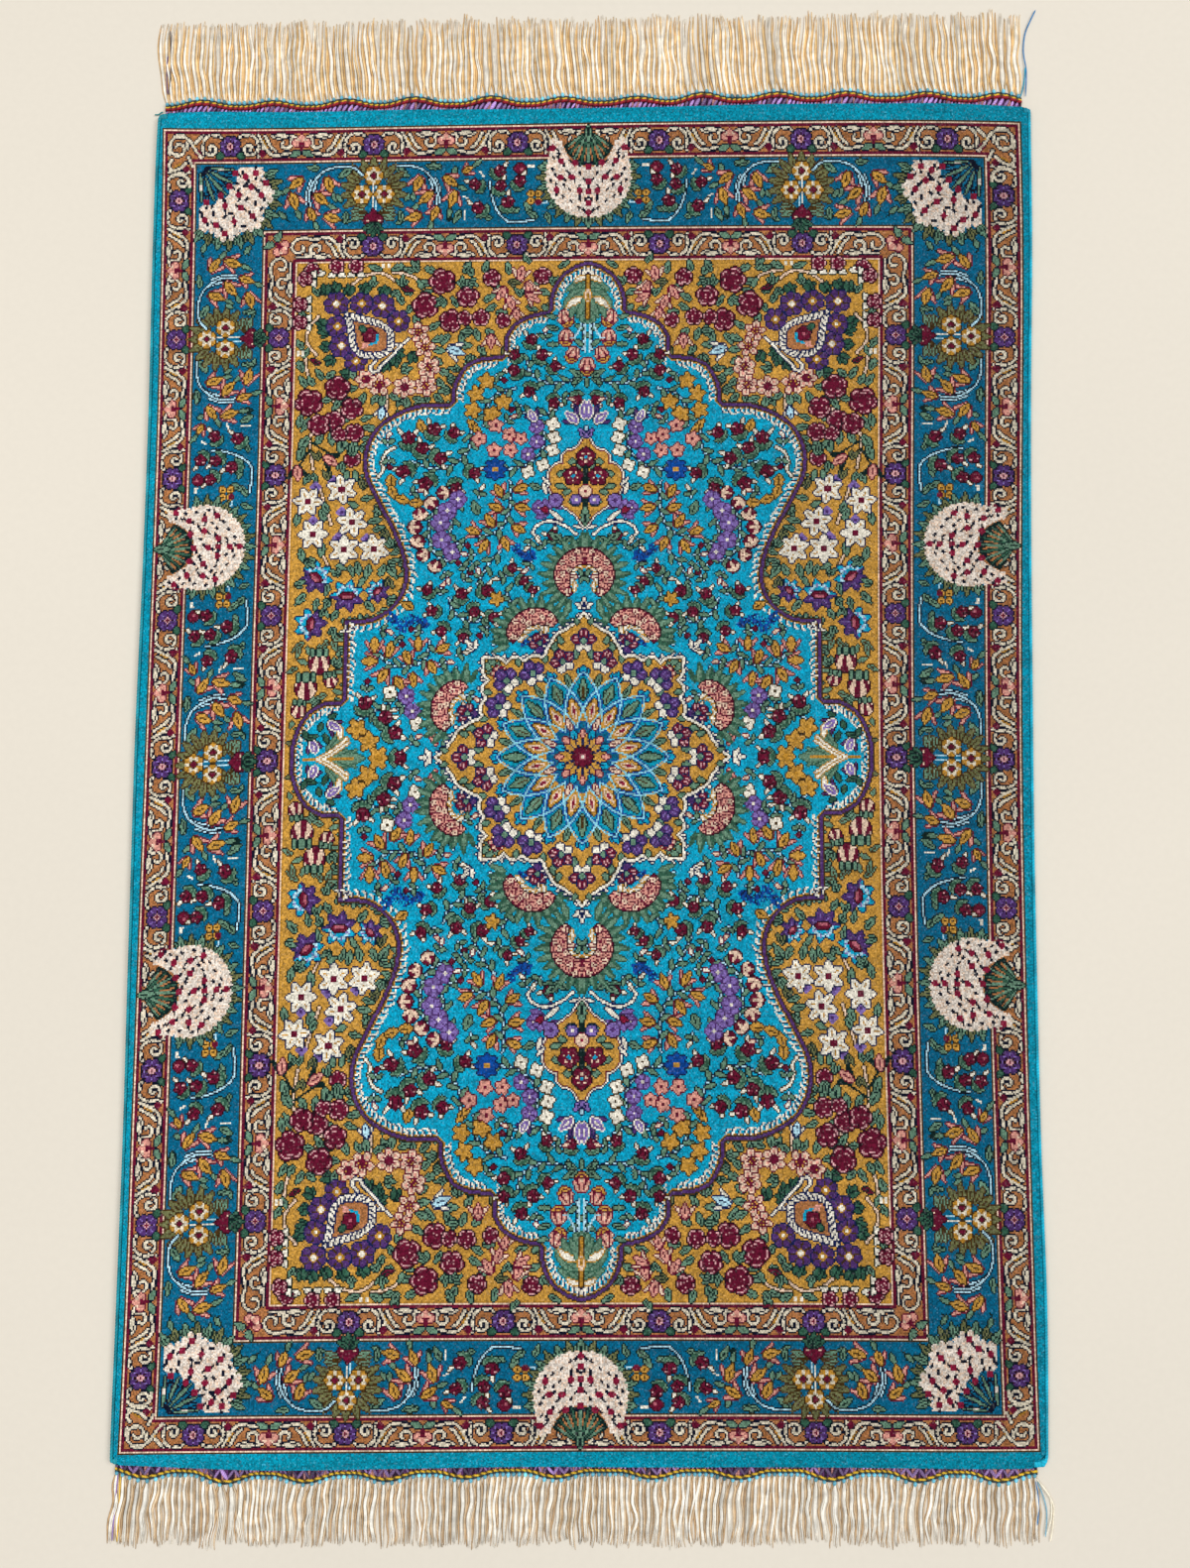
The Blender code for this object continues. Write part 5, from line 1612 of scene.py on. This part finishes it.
def fringe(finish, threads, draw):
    """The warp ends. The first three threads of each bundle lie together as its strand, the others
    stray between the strands, lower, in a painted warm shade. A thread runs from its root through the
    packed strand's middle to its tip on a quadratic curve, with two slow waves that neighbours share.
    The strands are tinted with painted light on top and painted warm shade on their sides."""
    roots = strand_roots(finish)
    pick = random.Random(finish.name)
    inner = cord_offset(finish, len(finish.cords) - 1) + CORD_WIDTH / 2
    span = finish.right - finish.left
    reach = finish.reach_left + (finish.reach_right - finish.reach_left) * (roots - finish.left) / span
    noise = array([[pick.uniform(-r, r) for r in (1.6, 0.35, 0.25)] for _ in roots])
    tip_y = finish.out * (reach + noise[:, 0])
    drift = finish.sway + 1.8 * sin(2 * pi * roots / 132) + noise[:, 1]
    bend = 0.8 * sin(2 * pi * roots / 82) + noise[:, 2]
    root_y = end_line(finish, roots, inner)
    n, rings = len(roots), THREAD_RINGS
    t = linspace(0, 1, rings)
    pitch = np.gradient(roots)[:, None, None]
    thread = arange(threads)
    of_strand = thread < STRAND_THREADS
    lane = where(of_strand, (thread - 1) * 0.11, (thread - (threads + 2) / 2) * 0.42)
    own = draw.normal(0, 1, (n, 6))[:, :, None, None]
    stray = draw.normal(0, 1, (6, n, threads, 1))
    loose = where(of_strand, 0.25, 1.0)[None, :, None]
    place = roots[:, None, None]
    root_in = clip(t * 6, 0, 1)
    swell = clip(t * 3, 0, 1)
    slow = (0.75 * wave(1.15 * t + place / 71 + 0.10 * own[:, 0]) * clip(0.7 + 0.5 * own[:, 1], 0.1, 1.6)
            + 0.42 * wave(2.3 * t + place / 43 + 0.16 * own[:, 2]) * clip(0.6 + 0.5 * own[:, 3], 0, 1.6))
    x = (place + (2 * t * (1 - t)) * (0.75 * drift + bend)[:, None, None] * 1.333
         + t**2 * drift[:, None, None]
         + lane[None, :, None] * pitch * (0.3 + 0.7 * root_in) * (1 + 0.35 * own[:, 4] * t)
         + slow * swell + loose * (0.2 * wave(1.1 * t + stray[0]) * swell + 0.45 * stray[1] * t**2)
         + 0.16 * stray[4] * t)
    far_side = finish.right - place if finish.out < 0 else place - finish.left
    x -= finish.out * 2.4 * np.exp(-far_side / 6) * sin(pi * t)
    long = (tip_y - root_y)[:, None, None] * (1 + 0.017 * stray[2] - 0.014 + 0.02 * own[:, 5])
    y = np.broadcast_to(root_y[:, None, None] + long * t, x.shape)
    level = where(of_strand, 0.66 + 0.12 * (thread == 1), 0.2)[None, :, None]
    rise = where(of_strand, 0.2, 0.04)[None, :, None]
    z = level + rise * sin(pi * (t * (1.5 + 0.3 * stray[3]) + stray[5])) ** 2
    z = z * (1 - 0.3 * t) + 0.1
    radius = where(of_strand, 0.46, 0.68)[None, :, None] * (1 - 0.75 * t**5)
    radius = np.broadcast_to(radius * clip(1 + 0.16 * stray[3], 0.6, 1.4), x.shape)
    lit = clip(0.97 + 0.04 * own[:, 1], 0.85, 1.0) * clip(0.985 + 0.03 * stray[2], 0.88, 1.0)
    # Painted light and shade: strands white on top and warm at the sides, threads below in warm shade
    strand_light_and_shade, below = array(STRAND_PAINTED_LIGHT_AND_SHADE), array(UNDER_PAINTED_WARM_SHADE)
    # At the bottom end the painted shade on the strands is paler, and on the threads below darker and cooler
    if finish.out < 0:
        strand_light_and_shade, below = strand_light_and_shade**(0.5, 0.6, 0.6), below * (0.9, 0.93, 1.05)
    dark = where((thread == STRAND_THREADS)[:, None], (0.9, 0.84, 0.76), 1.0)
    colour = where(of_strand[None, :, None, None, None], strand_light_and_shade, below)
    colour = colour * dark[None, :, None, None] * lit[..., None, None]
    *paths, radius = (a.reshape(n * threads, rings) for a in (x, y, z, radius))
    return tubes(f"fringe_threads_{finish.name}", stack(paths, -1), radius, 4, 0.6,
                 {"ply": clip(colour, 0, 1).reshape(n * threads, 1, 4, 3)})


def loose_yarns():
    """The few ends that stray from the corners, each a tube along a smooth curve on the floor."""
    t = linspace(0, 1, 40)
    paths, colours = [], []
    for points, colour in STRAYS:
        way = smooth(points, 1.0)
        s = linspace(0, len(way) - 1, len(t))
        x, y = (interp(s, arange(len(way)), way[:, k]) for k in (0, 1))
        paths.append(stack([x, y, 0.75 + 0.25 * sin(9 * t)], -1))
        colours.append(colour)
    radius = np.full((len(paths), len(t)), 0.42) * clip(np.minimum(t, 1 - t) * 30, 0.4, 1)
    return tubes("loose_yarns", paths, radius, 6, 0.9, {"ply": array(colours)[:, None, None]})


# ---------------------------------------------------------------- materials

FULL_TURN = 6.2832
FLOOR_CREAM = (0.735, 0.672, 0.575)
BACK_SHADES = ((0.42, (0.010, 0.17, 0.24, 1)), (0.6, (0.04, 0.22, 0.27, 1)))


class Recipe:
    """A material's node tree and a short way to add nodes to it."""

    def __init__(self, name, **constants):
        self.material = bpy.data.materials.new(name)
        self.material.use_nodes = True
        self.tree = self.material.node_tree
        self.shader = self.tree.nodes["Principled BSDF"]
        self.wire(self.shader, {key.replace("_", " "): value for key, value in constants.items()})

    def wire(self, node, inputs):
        """Sets a node's inputs to values, or links them to other nodes' sockets."""
        for key, value in inputs.items():
            if isinstance(value, bpy.types.NodeSocket):
                self.tree.links.new(value, node.inputs[key])
            else:
                node.inputs[key].default_value = value

    def add(self, kind, inputs=None, out=0, **settings):
        """A node with its settings and inputs; gives the asked output socket."""
        node = self.tree.nodes.new("ShaderNode" + kind)
        for key, value in settings.items():
            setattr(node, key, value)
        self.wire(node, inputs or {})
        return node.outputs[out]

    def math(self, operation, *values):
        """One step of arithmetic."""
        return self.add("Math", dict(enumerate(values)), operation=operation)

    def arch(self, value):
        """sin(pi value), which rises and falls once from 0 to 1."""
        return self.math("SINE", self.math("MULTIPLY", value, 3.14159))

    def spread(self, value, low, high, from_low=0.0, from_high=1.0):
        """value brought from one range to another."""
        return self.add("MapRange", {0: value, 1: from_low, 2: from_high, 3: low, 4: high})

    def plain(self, colour):
        """One colour, to be shaded."""
        socket = self.add("RGB")
        socket.default_value = (*colour, 1)
        return socket

    def shaded(self, colour, *values):
        """A colour times several factors."""
        for value in values:
            colour = self.add("VectorMath", {0: colour, "Scale": value}, operation="SCALE")
        return colour

    def noise(self, vector, scale, detail=2.0):
        """Cloudy noise, of so many clouds a unit."""
        return self.add("TexNoise", {"Vector": vector, "Scale": scale, "Detail": detail})

    def finish(self, colour, roughness, height, strength, depth):
        """Joins the colour, the roughness and the bump to the shader."""
        bump = self.add("Bump", {"Height": height, "Strength": strength, "Distance": depth})
        self.wire(self.shader, {"Base Color": colour, "Roughness": roughness, "Normal": bump})
        return self.material


def pile_material():
    """Knotted silk: the knot's dye, a shade of its own for each knot, long streaks across the rug
    where the dye lots change, and a fine broken fibre. Painted sheen lightens the rug towards its left
    and painted shade darkens it towards its right, and painted glints light a few knots. The bump
    rounds each knot."""
    silk = Recipe("pile_silk", Specular_IOR_Level=0.05)
    dye = silk.add("VertexColor", layer_name="dye")
    plan = silk.add("UVMap", uv_map="knots")
    place = silk.add("TexCoord", out=3)
    knot = silk.add("VectorMath", {0: plan}, operation="FLOOR")
    own = silk.add("TexWhiteNoise", {"Vector": knot}, noise_dimensions="2D")
    streak = silk.noise(silk.add("Mapping", {"Vector": plan, "Scale": (0.012, 0.22, 1)}), 1.0, 3.0)
    cloud = silk.noise(place, 9.0, 2.0)
    fibre = silk.noise(silk.add("Mapping", {"Vector": place, "Scale": (1.0, 0.55, 1)}), 1500.0, 3.0)
    other = silk.add("TexWhiteNoise", {"Vector": silk.add("VectorMath", {0: knot, 1: (7.3, 2.9, 0)})},
                     noise_dimensions="2D")
    # Painted sheen and shade: lighter towards the left of the rug and darker towards the right, along x
    lean = silk.spread(silk.add("SeparateXYZ", {0: place}), 1.06, 0.78, -0.3, 0.3)
    colour = silk.shaded(dye, lean, silk.spread(own, 0.52, 1.2),
                         silk.spread(streak, 0.84, 1.16, 0.25, 0.75),
                         silk.spread(cloud, 0.93, 1.07, 0.3, 0.7),
                         silk.spread(fibre, 0.62, 1.36, 0.25, 0.75))
    # Painted glints: a little grey added to one knot in ten, as silk catches the light
    painted_glint = silk.math("MULTIPLY", silk.math("GREATER_THAN", other, 0.90),
                      silk.spread(fibre, 0.0, 0.06, 0.3, 0.7))
    colour = silk.add("VectorMath", {0: colour, 1: painted_glint})
    within = silk.add("VectorMath", {0: plan}, operation="FRACTION")
    split = silk.add("SeparateXYZ", {0: within})
    crown = silk.math("MULTIPLY", silk.arch(split), silk.arch(split.node.outputs[1]))
    height = silk.math("ADD", silk.math("MULTIPLY", crown, 0.6), silk.math("MULTIPLY", fibre, 0.8))
    return silk.finish(colour, silk.spread(own, 0.36, 0.52), height, 0.55, 0.0005)


def yarn_material(name, twist, sheen=0.1, variation=0.2, colour=(1, 1, 1)):
    """Spun silk on a tube, in its plies' dyes: fine lines that wind along the yarn, darkened in their
    grooves with painted shade, and cloudy dye.
    """
    yarn = Recipe(name, Sheen_Weight=sheen, Sheen_Roughness=0.4, Specular_IOR_Level=0.25)
    plan = yarn.add("UVMap", uv_map="yarn")
    split = yarn.add("SeparateXYZ", {0: plan})
    wind = yarn.math("ADD", yarn.math("MULTIPLY", split.node.outputs[1], FULL_TURN / twist),
                     yarn.math("MULTIPLY", split, FULL_TURN * 2))
    ply = yarn.math("MULTIPLY_ADD", yarn.math("SINE", wind), 0.5, 0.5)
    place = yarn.add("TexCoord", out=3)
    cloud = yarn.noise(place, 160.0, 2.0)
    fibre = yarn.noise(place, 2600.0, 2.0)
    dyed = yarn.add("VectorMath", {0: yarn.plain(colour), 1: yarn.add("VertexColor", layer_name="ply")},
                    operation="MULTIPLY")
    # Painted shade: the yarn is darker in the grooves between the plies, where the bump is lowest
    tone = yarn.shaded(dyed, yarn.spread(ply, 1 - variation, 1 + variation * 0.5),
                       yarn.spread(cloud, 0.8, 1.2, 0.3, 0.7), yarn.spread(fibre, 0.85, 1.15, 0.3, 0.7))
    height = yarn.math("ADD", yarn.math("MULTIPLY", ply, 0.6), yarn.math("MULTIPLY", fibre, 0.6))
    return yarn.finish(tone, yarn.spread(cloud, 0.45, 0.65), height, 0.5, 0.0002)


def back_material():
    """The foundation: flat knots and cotton-fine wefts in clouds of two dark teals, each weft row darkened
    towards its edges with painted shade.
    """
    back = Recipe("knotted_back", Sheen_Weight=0.1, Sheen_Roughness=0.5, Specular_IOR_Level=0.25)
    plan = back.add("UVMap", uv_map="knots")
    place = back.add("TexCoord", out=3)
    knot = back.add("VectorMath", {0: plan}, operation="FLOOR")
    own = back.add("TexWhiteNoise", {"Vector": knot}, noise_dimensions="2D")
    split = back.add("SeparateXYZ", {0: back.add("VectorMath", {0: plan}, operation="FRACTION")})
    weft = back.arch(split.node.outputs[1])
    cloud = back.noise(place, 60.0, 3.0)
    ramp = back.add("ValToRGB", {0: cloud})
    for stop, shade in zip(ramp.node.color_ramp.elements, BACK_SHADES):
        stop.position, stop.color = shade
    # Painted shade: each weft row darker towards its edges, where the bump is lowest
    colour = back.shaded(ramp, back.spread(own, 0.7, 1.15), back.spread(weft, 0.6, 1.1))
    return back.finish(colour, back.spread(own, 0.6, 0.85), weft, 0.4, 0.0003)


def floor_material():
    """A plain cream floor with the faintest unevenness."""
    floor = Recipe("cream_floor", Specular_IOR_Level=0.1)
    place = floor.add("TexCoord", out=3)
    cloud = floor.noise(place, 2.0, 3.0)
    fine = floor.noise(place, 220.0, 2.0)
    colour = floor.shaded(floor.plain(FLOOR_CREAM), floor.spread(cloud, 0.98, 1.02, 0.3, 0.7),
                          floor.spread(fine, 0.99, 1.01, 0.3, 0.7))
    return floor.finish(colour, floor.spread(cloud, 0.75, 0.85), fine, 0.05, 0.0005)


# ---------------------------------------------------------------- the add-on

def linear(colour):
    """Display values to light values."""
    c = np.asarray(colour, float)
    return tuple(where(c <= 0.04045, c / 12.92, ((c + 0.055) / 1.055) ** 2.4))


def hexed(code):
    """Six hex digits to three display values."""
    return tuple(int(code[i:i + 2], 16) / 255 for i in (0, 2, 4))


def length(name, about, default, low, high):
    """A setting in metres."""
    return bpy.props.FloatProperty(name=name, description=about, default=default, min=low, max=high,
                                   unit="LENGTH", subtype="DISTANCE", precision=5)


def dye(name, about, code):
    """A setting for a colour, from its hex digits."""
    return bpy.props.FloatVectorProperty(name=name, description=about, subtype="COLOR_GAMMA", size=3,
                                         min=0, max=1, default=hexed(code))


class RugSizes(bpy.types.PropertyGroup):
    """Sizes that a user would change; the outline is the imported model's."""

    pile_height: length("Pile height", "How far the pile stands over the packed cloth", 0.0002, 0, 0.002)
    relief: bpy.props.FloatProperty(name="Waves", description="How much the lying cloth waves up and down",
                                    default=1.0, min=0, max=4)
    selvedge_turn: length("Selvedge turn", "Distance between turns of the overcasting yarn",
                          0.002, 0.0008, 0.006)
    threads: bpy.props.IntProperty(name="Threads a bundle", description="Fringe threads in each warp bundle",
                                   default=6, min=2, max=8)


class RugDyes(bpy.types.PropertyGroup):
    """The dyes of the pile."""

    __annotations__ = {name: dye(said.capitalize(), "Pile dyed " + said, code)
                       for name, said, code in ((name, name.replace("_", " "), DYES[name]) for name in DYES)}


class YarnDyes(bpy.types.PropertyGroup):
    """The dyes of the end bands, cords and fringes, and the selvedges' colours with painted light and shade.
    """

    # Both selvedges are one silk: the left one's darker teal is painted shade, the right one's brighter cyan
    # painted light
    selvedge_left: dye("Left selvedge", "Overcast yarn down the left side", "168a98")
    selvedge_right: dye("Right selvedge", "Overcast yarn down the right side", "0aa4c0")
    lilac: dye("Lilac loops", "Yarn wrapped round the warp bundles", "b892d2")
    red: dye("Red cord", "Twined cord", "9c1028")
    gold: dye("Gold cord", "Twined cord", "f0c030")
    teal: dye("Teal cord", "Twined cord", "2b4550")
    light_blue: dye("Light blue", "Stitches outside the teal cord", "6cbcd4")
    warp: dye("Warp", "Undyed silk warp ends", "fffdf8")


class Maker:
    """What the operators share: undo, and the sizes of the scene."""

    bl_options = {"REGISTER", "UNDO"}

    def sizes(self):
        """The sizes that the sidebar shows."""
        return bpy.context.scene.rug_sizes


def dress(piece, material):
    """Gives a piece its material, and lets it ride with the rug."""
    piece.data.materials.append(material)
    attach(piece, "root")
    return piece


class RUG_OT_cloth(Maker, bpy.types.Operator):
    """Ties the pile from the chart on its foundation"""

    bl_idname = "rug.cloth"
    bl_label = "Knotted Cloth"

    def execute(self, context):
        dyes = context.scene.rug_dyes
        DYE_TABLE[:] = [tuple(getattr(dyes, name)) for name in DYES]
        trim = COLUMNS - EDGE_COLUMNS
        chart, parts = (quarter_to_whole(quarter)[:, trim:-trim] for quarter in weavers_chart())
        places = pile_places(self.sizes().pile_height / MM, self.sizes().relief)
        silk = pile_material()
        base = dress(foundation(), back_material())
        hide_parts("rug_body")
        for number, name in enumerate(STRIPS):
            dress(knotted_mesh(name, chart, parts == number, places), silk)
        points, quads, plan = pile_side(places)
        # The cut side: the sea dye darkened with painted shade
        shade = array(tuple(dyes.sea)) * CUT_SIDE_PAINTED_SHADE
        dress(surface("cut_edge", points, [quads], {"knots": [plan[quads]]},
                      {"dye": [np.broadcast_to(shade, (len(quads), 4, 3))]}), silk)
        return {"FINISHED"}


class RUG_OT_selvedges(Maker, bpy.types.Operator):
    """Overcasts the two long sides"""

    bl_idname = "rug.selvedges"
    bl_label = "Selvedges"

    def execute(self, context):
        yarn = yarn_material("overcast_silk", 2.0)
        dyes = context.scene.rug_yarns
        for side, sx, colour in (("left", -1, dyes.selvedge_left), ("right", 1, dyes.selvedge_right)):
            piece = selvedge(side, sx, self.sizes().selvedge_turn / MM, array(colour))
            dress(piece, yarn)
            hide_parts(f"selvedge_{side}")
        return {"FINISHED"}


class RUG_OT_loop_bands(Maker, bpy.types.Operator):
    """Wraps the warp bundles between the pile and the cords"""

    bl_idname = "rug.loop_bands"
    bl_label = "Looped End Bands"

    def execute(self, context):
        yarn = yarn_material("lilac_wrapping", 1.4, variation=0.3)
        for finish in END_FINISHES:
            draw = np.random.default_rng(41 + finish.out)
            piece = dress(loops(finish, draw, array(context.scene.rug_yarns.lilac)), yarn)
            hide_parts(f"loop_band_{finish.name}")
            dress(warp_ends(finish, draw), yarn)
        return {"FINISHED"}


class RUG_OT_cords(Maker, bpy.types.Operator):
    """Twines the red, gold and teal cords across the warp ends"""

    bl_idname = "rug.cords"
    bl_label = "Twined Cords"

    def execute(self, context):
        silks = {name: yarn_material(f"{name}_cord_silk", 1.1, variation=0.25) for name in CORD_MAKE}
        dyes = context.scene.rug_yarns
        for finish in END_FINISHES:
            for number, colour in enumerate(finish.cords):
                piece = twined_cord(finish, number, colour, array(getattr(dyes, colour)))
                dress(piece, silks[colour])
                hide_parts(f"{colour}_cord_{finish.name}")
            beads = edge_beads(finish, np.random.default_rng(5), array(dyes.light_blue))
            dress(beads, silks["teal"])
        return {"FINISHED"}


class RUG_OT_fringes(Maker, bpy.types.Operator):
    """Spreads the warp ends in fine threads, and lays the loose yarns"""

    bl_idname = "rug.fringes"
    bl_label = "Fringes"

    def execute(self, context):
        silk = yarn_material("warp_thread", 0.9, 0.0, 0.04, linear(context.scene.rug_yarns.warp))
        for finish in END_FINISHES:
            draw = np.random.default_rng(77 + finish.out)
            piece = dress(fringe(finish, self.sizes().threads, draw), silk)
            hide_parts(f"fringe_{finish.name}")
        dress(loose_yarns(), silk)
        return {"FINISHED"}


# The stage: the floor's grid in millimetres; the lights' places, sizes, powers and tints; the room's
# tint and strength; and the camera, whose lens is 1200 pixels long where the picture is 1581 high
FLOOR_GRID = linspace(-4000, 4000, 9)
LIGHTS = (("window_light", (3.6, 1.0, 3.4), 2.0, 112, (0.97, 0.985, 1.0)),
          ("sky_light", (-1.25, 0.1, 2.6), 1.2, 28, (1.0, 0.985, 0.95)))
ROOM_TINT, ROOM_LIGHT = (0.96, 0.98, 1.0, 1), 0.61
SENSOR, LENS_OVER_SENSOR = 36, 1200 / 1581
CAMERA_PLACE, CAMERA_TILT = (0.01458, -0.06418, 0.78391 + THICKNESS * MM), (3.677, 0.545, 0.320)


class RUG_OT_stage(Maker, bpy.types.Operator):
    """Lays the floor, sets the soft lights and the camera"""

    bl_idname = "rug.stage"
    bl_label = "Floor, Lights and Camera"

    def execute(self, context):
        scene = context.scene
        u, v = np.meshgrid(FLOOR_GRID, FLOOR_GRID)
        points = stack([u, v, 0 * u - 0.02], -1).reshape(-1, 3)
        floor = surface("floor", points, [grid_faces(arange(u.size).reshape(u.shape))])
        floor.data.materials.append(floor_material())
        for name, place, size, power, tint in LIGHTS:
            lamp = bpy.data.lights.new(name, "AREA")
            lamp.shape, lamp.size, lamp.size_y = "RECTANGLE", size, size
            lamp.energy, lamp.color = power, tint
            holder = bpy.data.objects.new(name, lamp)
            holder.location = place
            holder.rotation_euler = mathutils.Vector(place).to_track_quat("Z", "Y").to_euler()
            scene.collection.objects.link(holder)
        world = bpy.data.worlds.new("soft_room")
        world.use_nodes = True
        air = world.node_tree.nodes["Background"].inputs
        air[0].default_value, air[1].default_value = ROOM_TINT, ROOM_LIGHT
        scene.world = world
        scene.view_settings.view_transform = "Standard"
        camera = bpy.data.cameras.new("camera")
        camera.sensor_fit, camera.sensor_width, camera.sensor_height = "AUTO", SENSOR, SENSOR
        camera.lens = LENS_OVER_SENSOR * SENSOR
        camera.clip_start = 0.05
        seat = bpy.data.objects.new("camera", camera)
        seat.location, seat.rotation_euler = CAMERA_PLACE, radians(CAMERA_TILT)
        scene.collection.objects.link(seat)
        scene.camera = seat
        return {"FINISHED"}


class RUG_PT_panel(bpy.types.Panel):
    """Sizes, dyes and the steps in order"""

    bl_label = "Knotted Silk Rug"
    bl_idname = "RUG_PT_panel"
    bl_space_type = "VIEW_3D"
    bl_region_type = "UI"
    bl_category = "Rug"

    def draw(self, context):
        layout = self.layout
        for group in (getattr(context.scene, name) for name in GROUPS):
            box = layout.box()
            for key in group.bl_rna.properties.keys():
                if key not in {"rna_type", "name"}:
                    box.prop(group, key)
        for step in STEPS:
            layout.operator(step.bl_idname)


STEPS = (RUG_OT_stage, RUG_OT_cloth, RUG_OT_selvedges, RUG_OT_loop_bands, RUG_OT_cords, RUG_OT_fringes)
GROUPS = {"rug_sizes": RugSizes, "rug_dyes": RugDyes, "rug_yarns": YarnDyes}
CLASSES = (*GROUPS.values(), *STEPS, RUG_PT_panel)


def register():
    for item in CLASSES:
        bpy.utils.register_class(item)
    for name, group in GROUPS.items():
        setattr(bpy.types.Scene, name, bpy.props.PointerProperty(type=group))


def unregister():
    for name in GROUPS:
        delattr(bpy.types.Scene, name)
    for item in reversed(CLASSES):
        bpy.utils.unregister_class(item)


def main():
    """Makes the rug and its stage, step by step."""
    register()
    for step in STEPS:
        group, name = step.bl_idname.split(".")
        getattr(getattr(bpy.ops, group), name)()


if __name__ == "__main__":
    main()
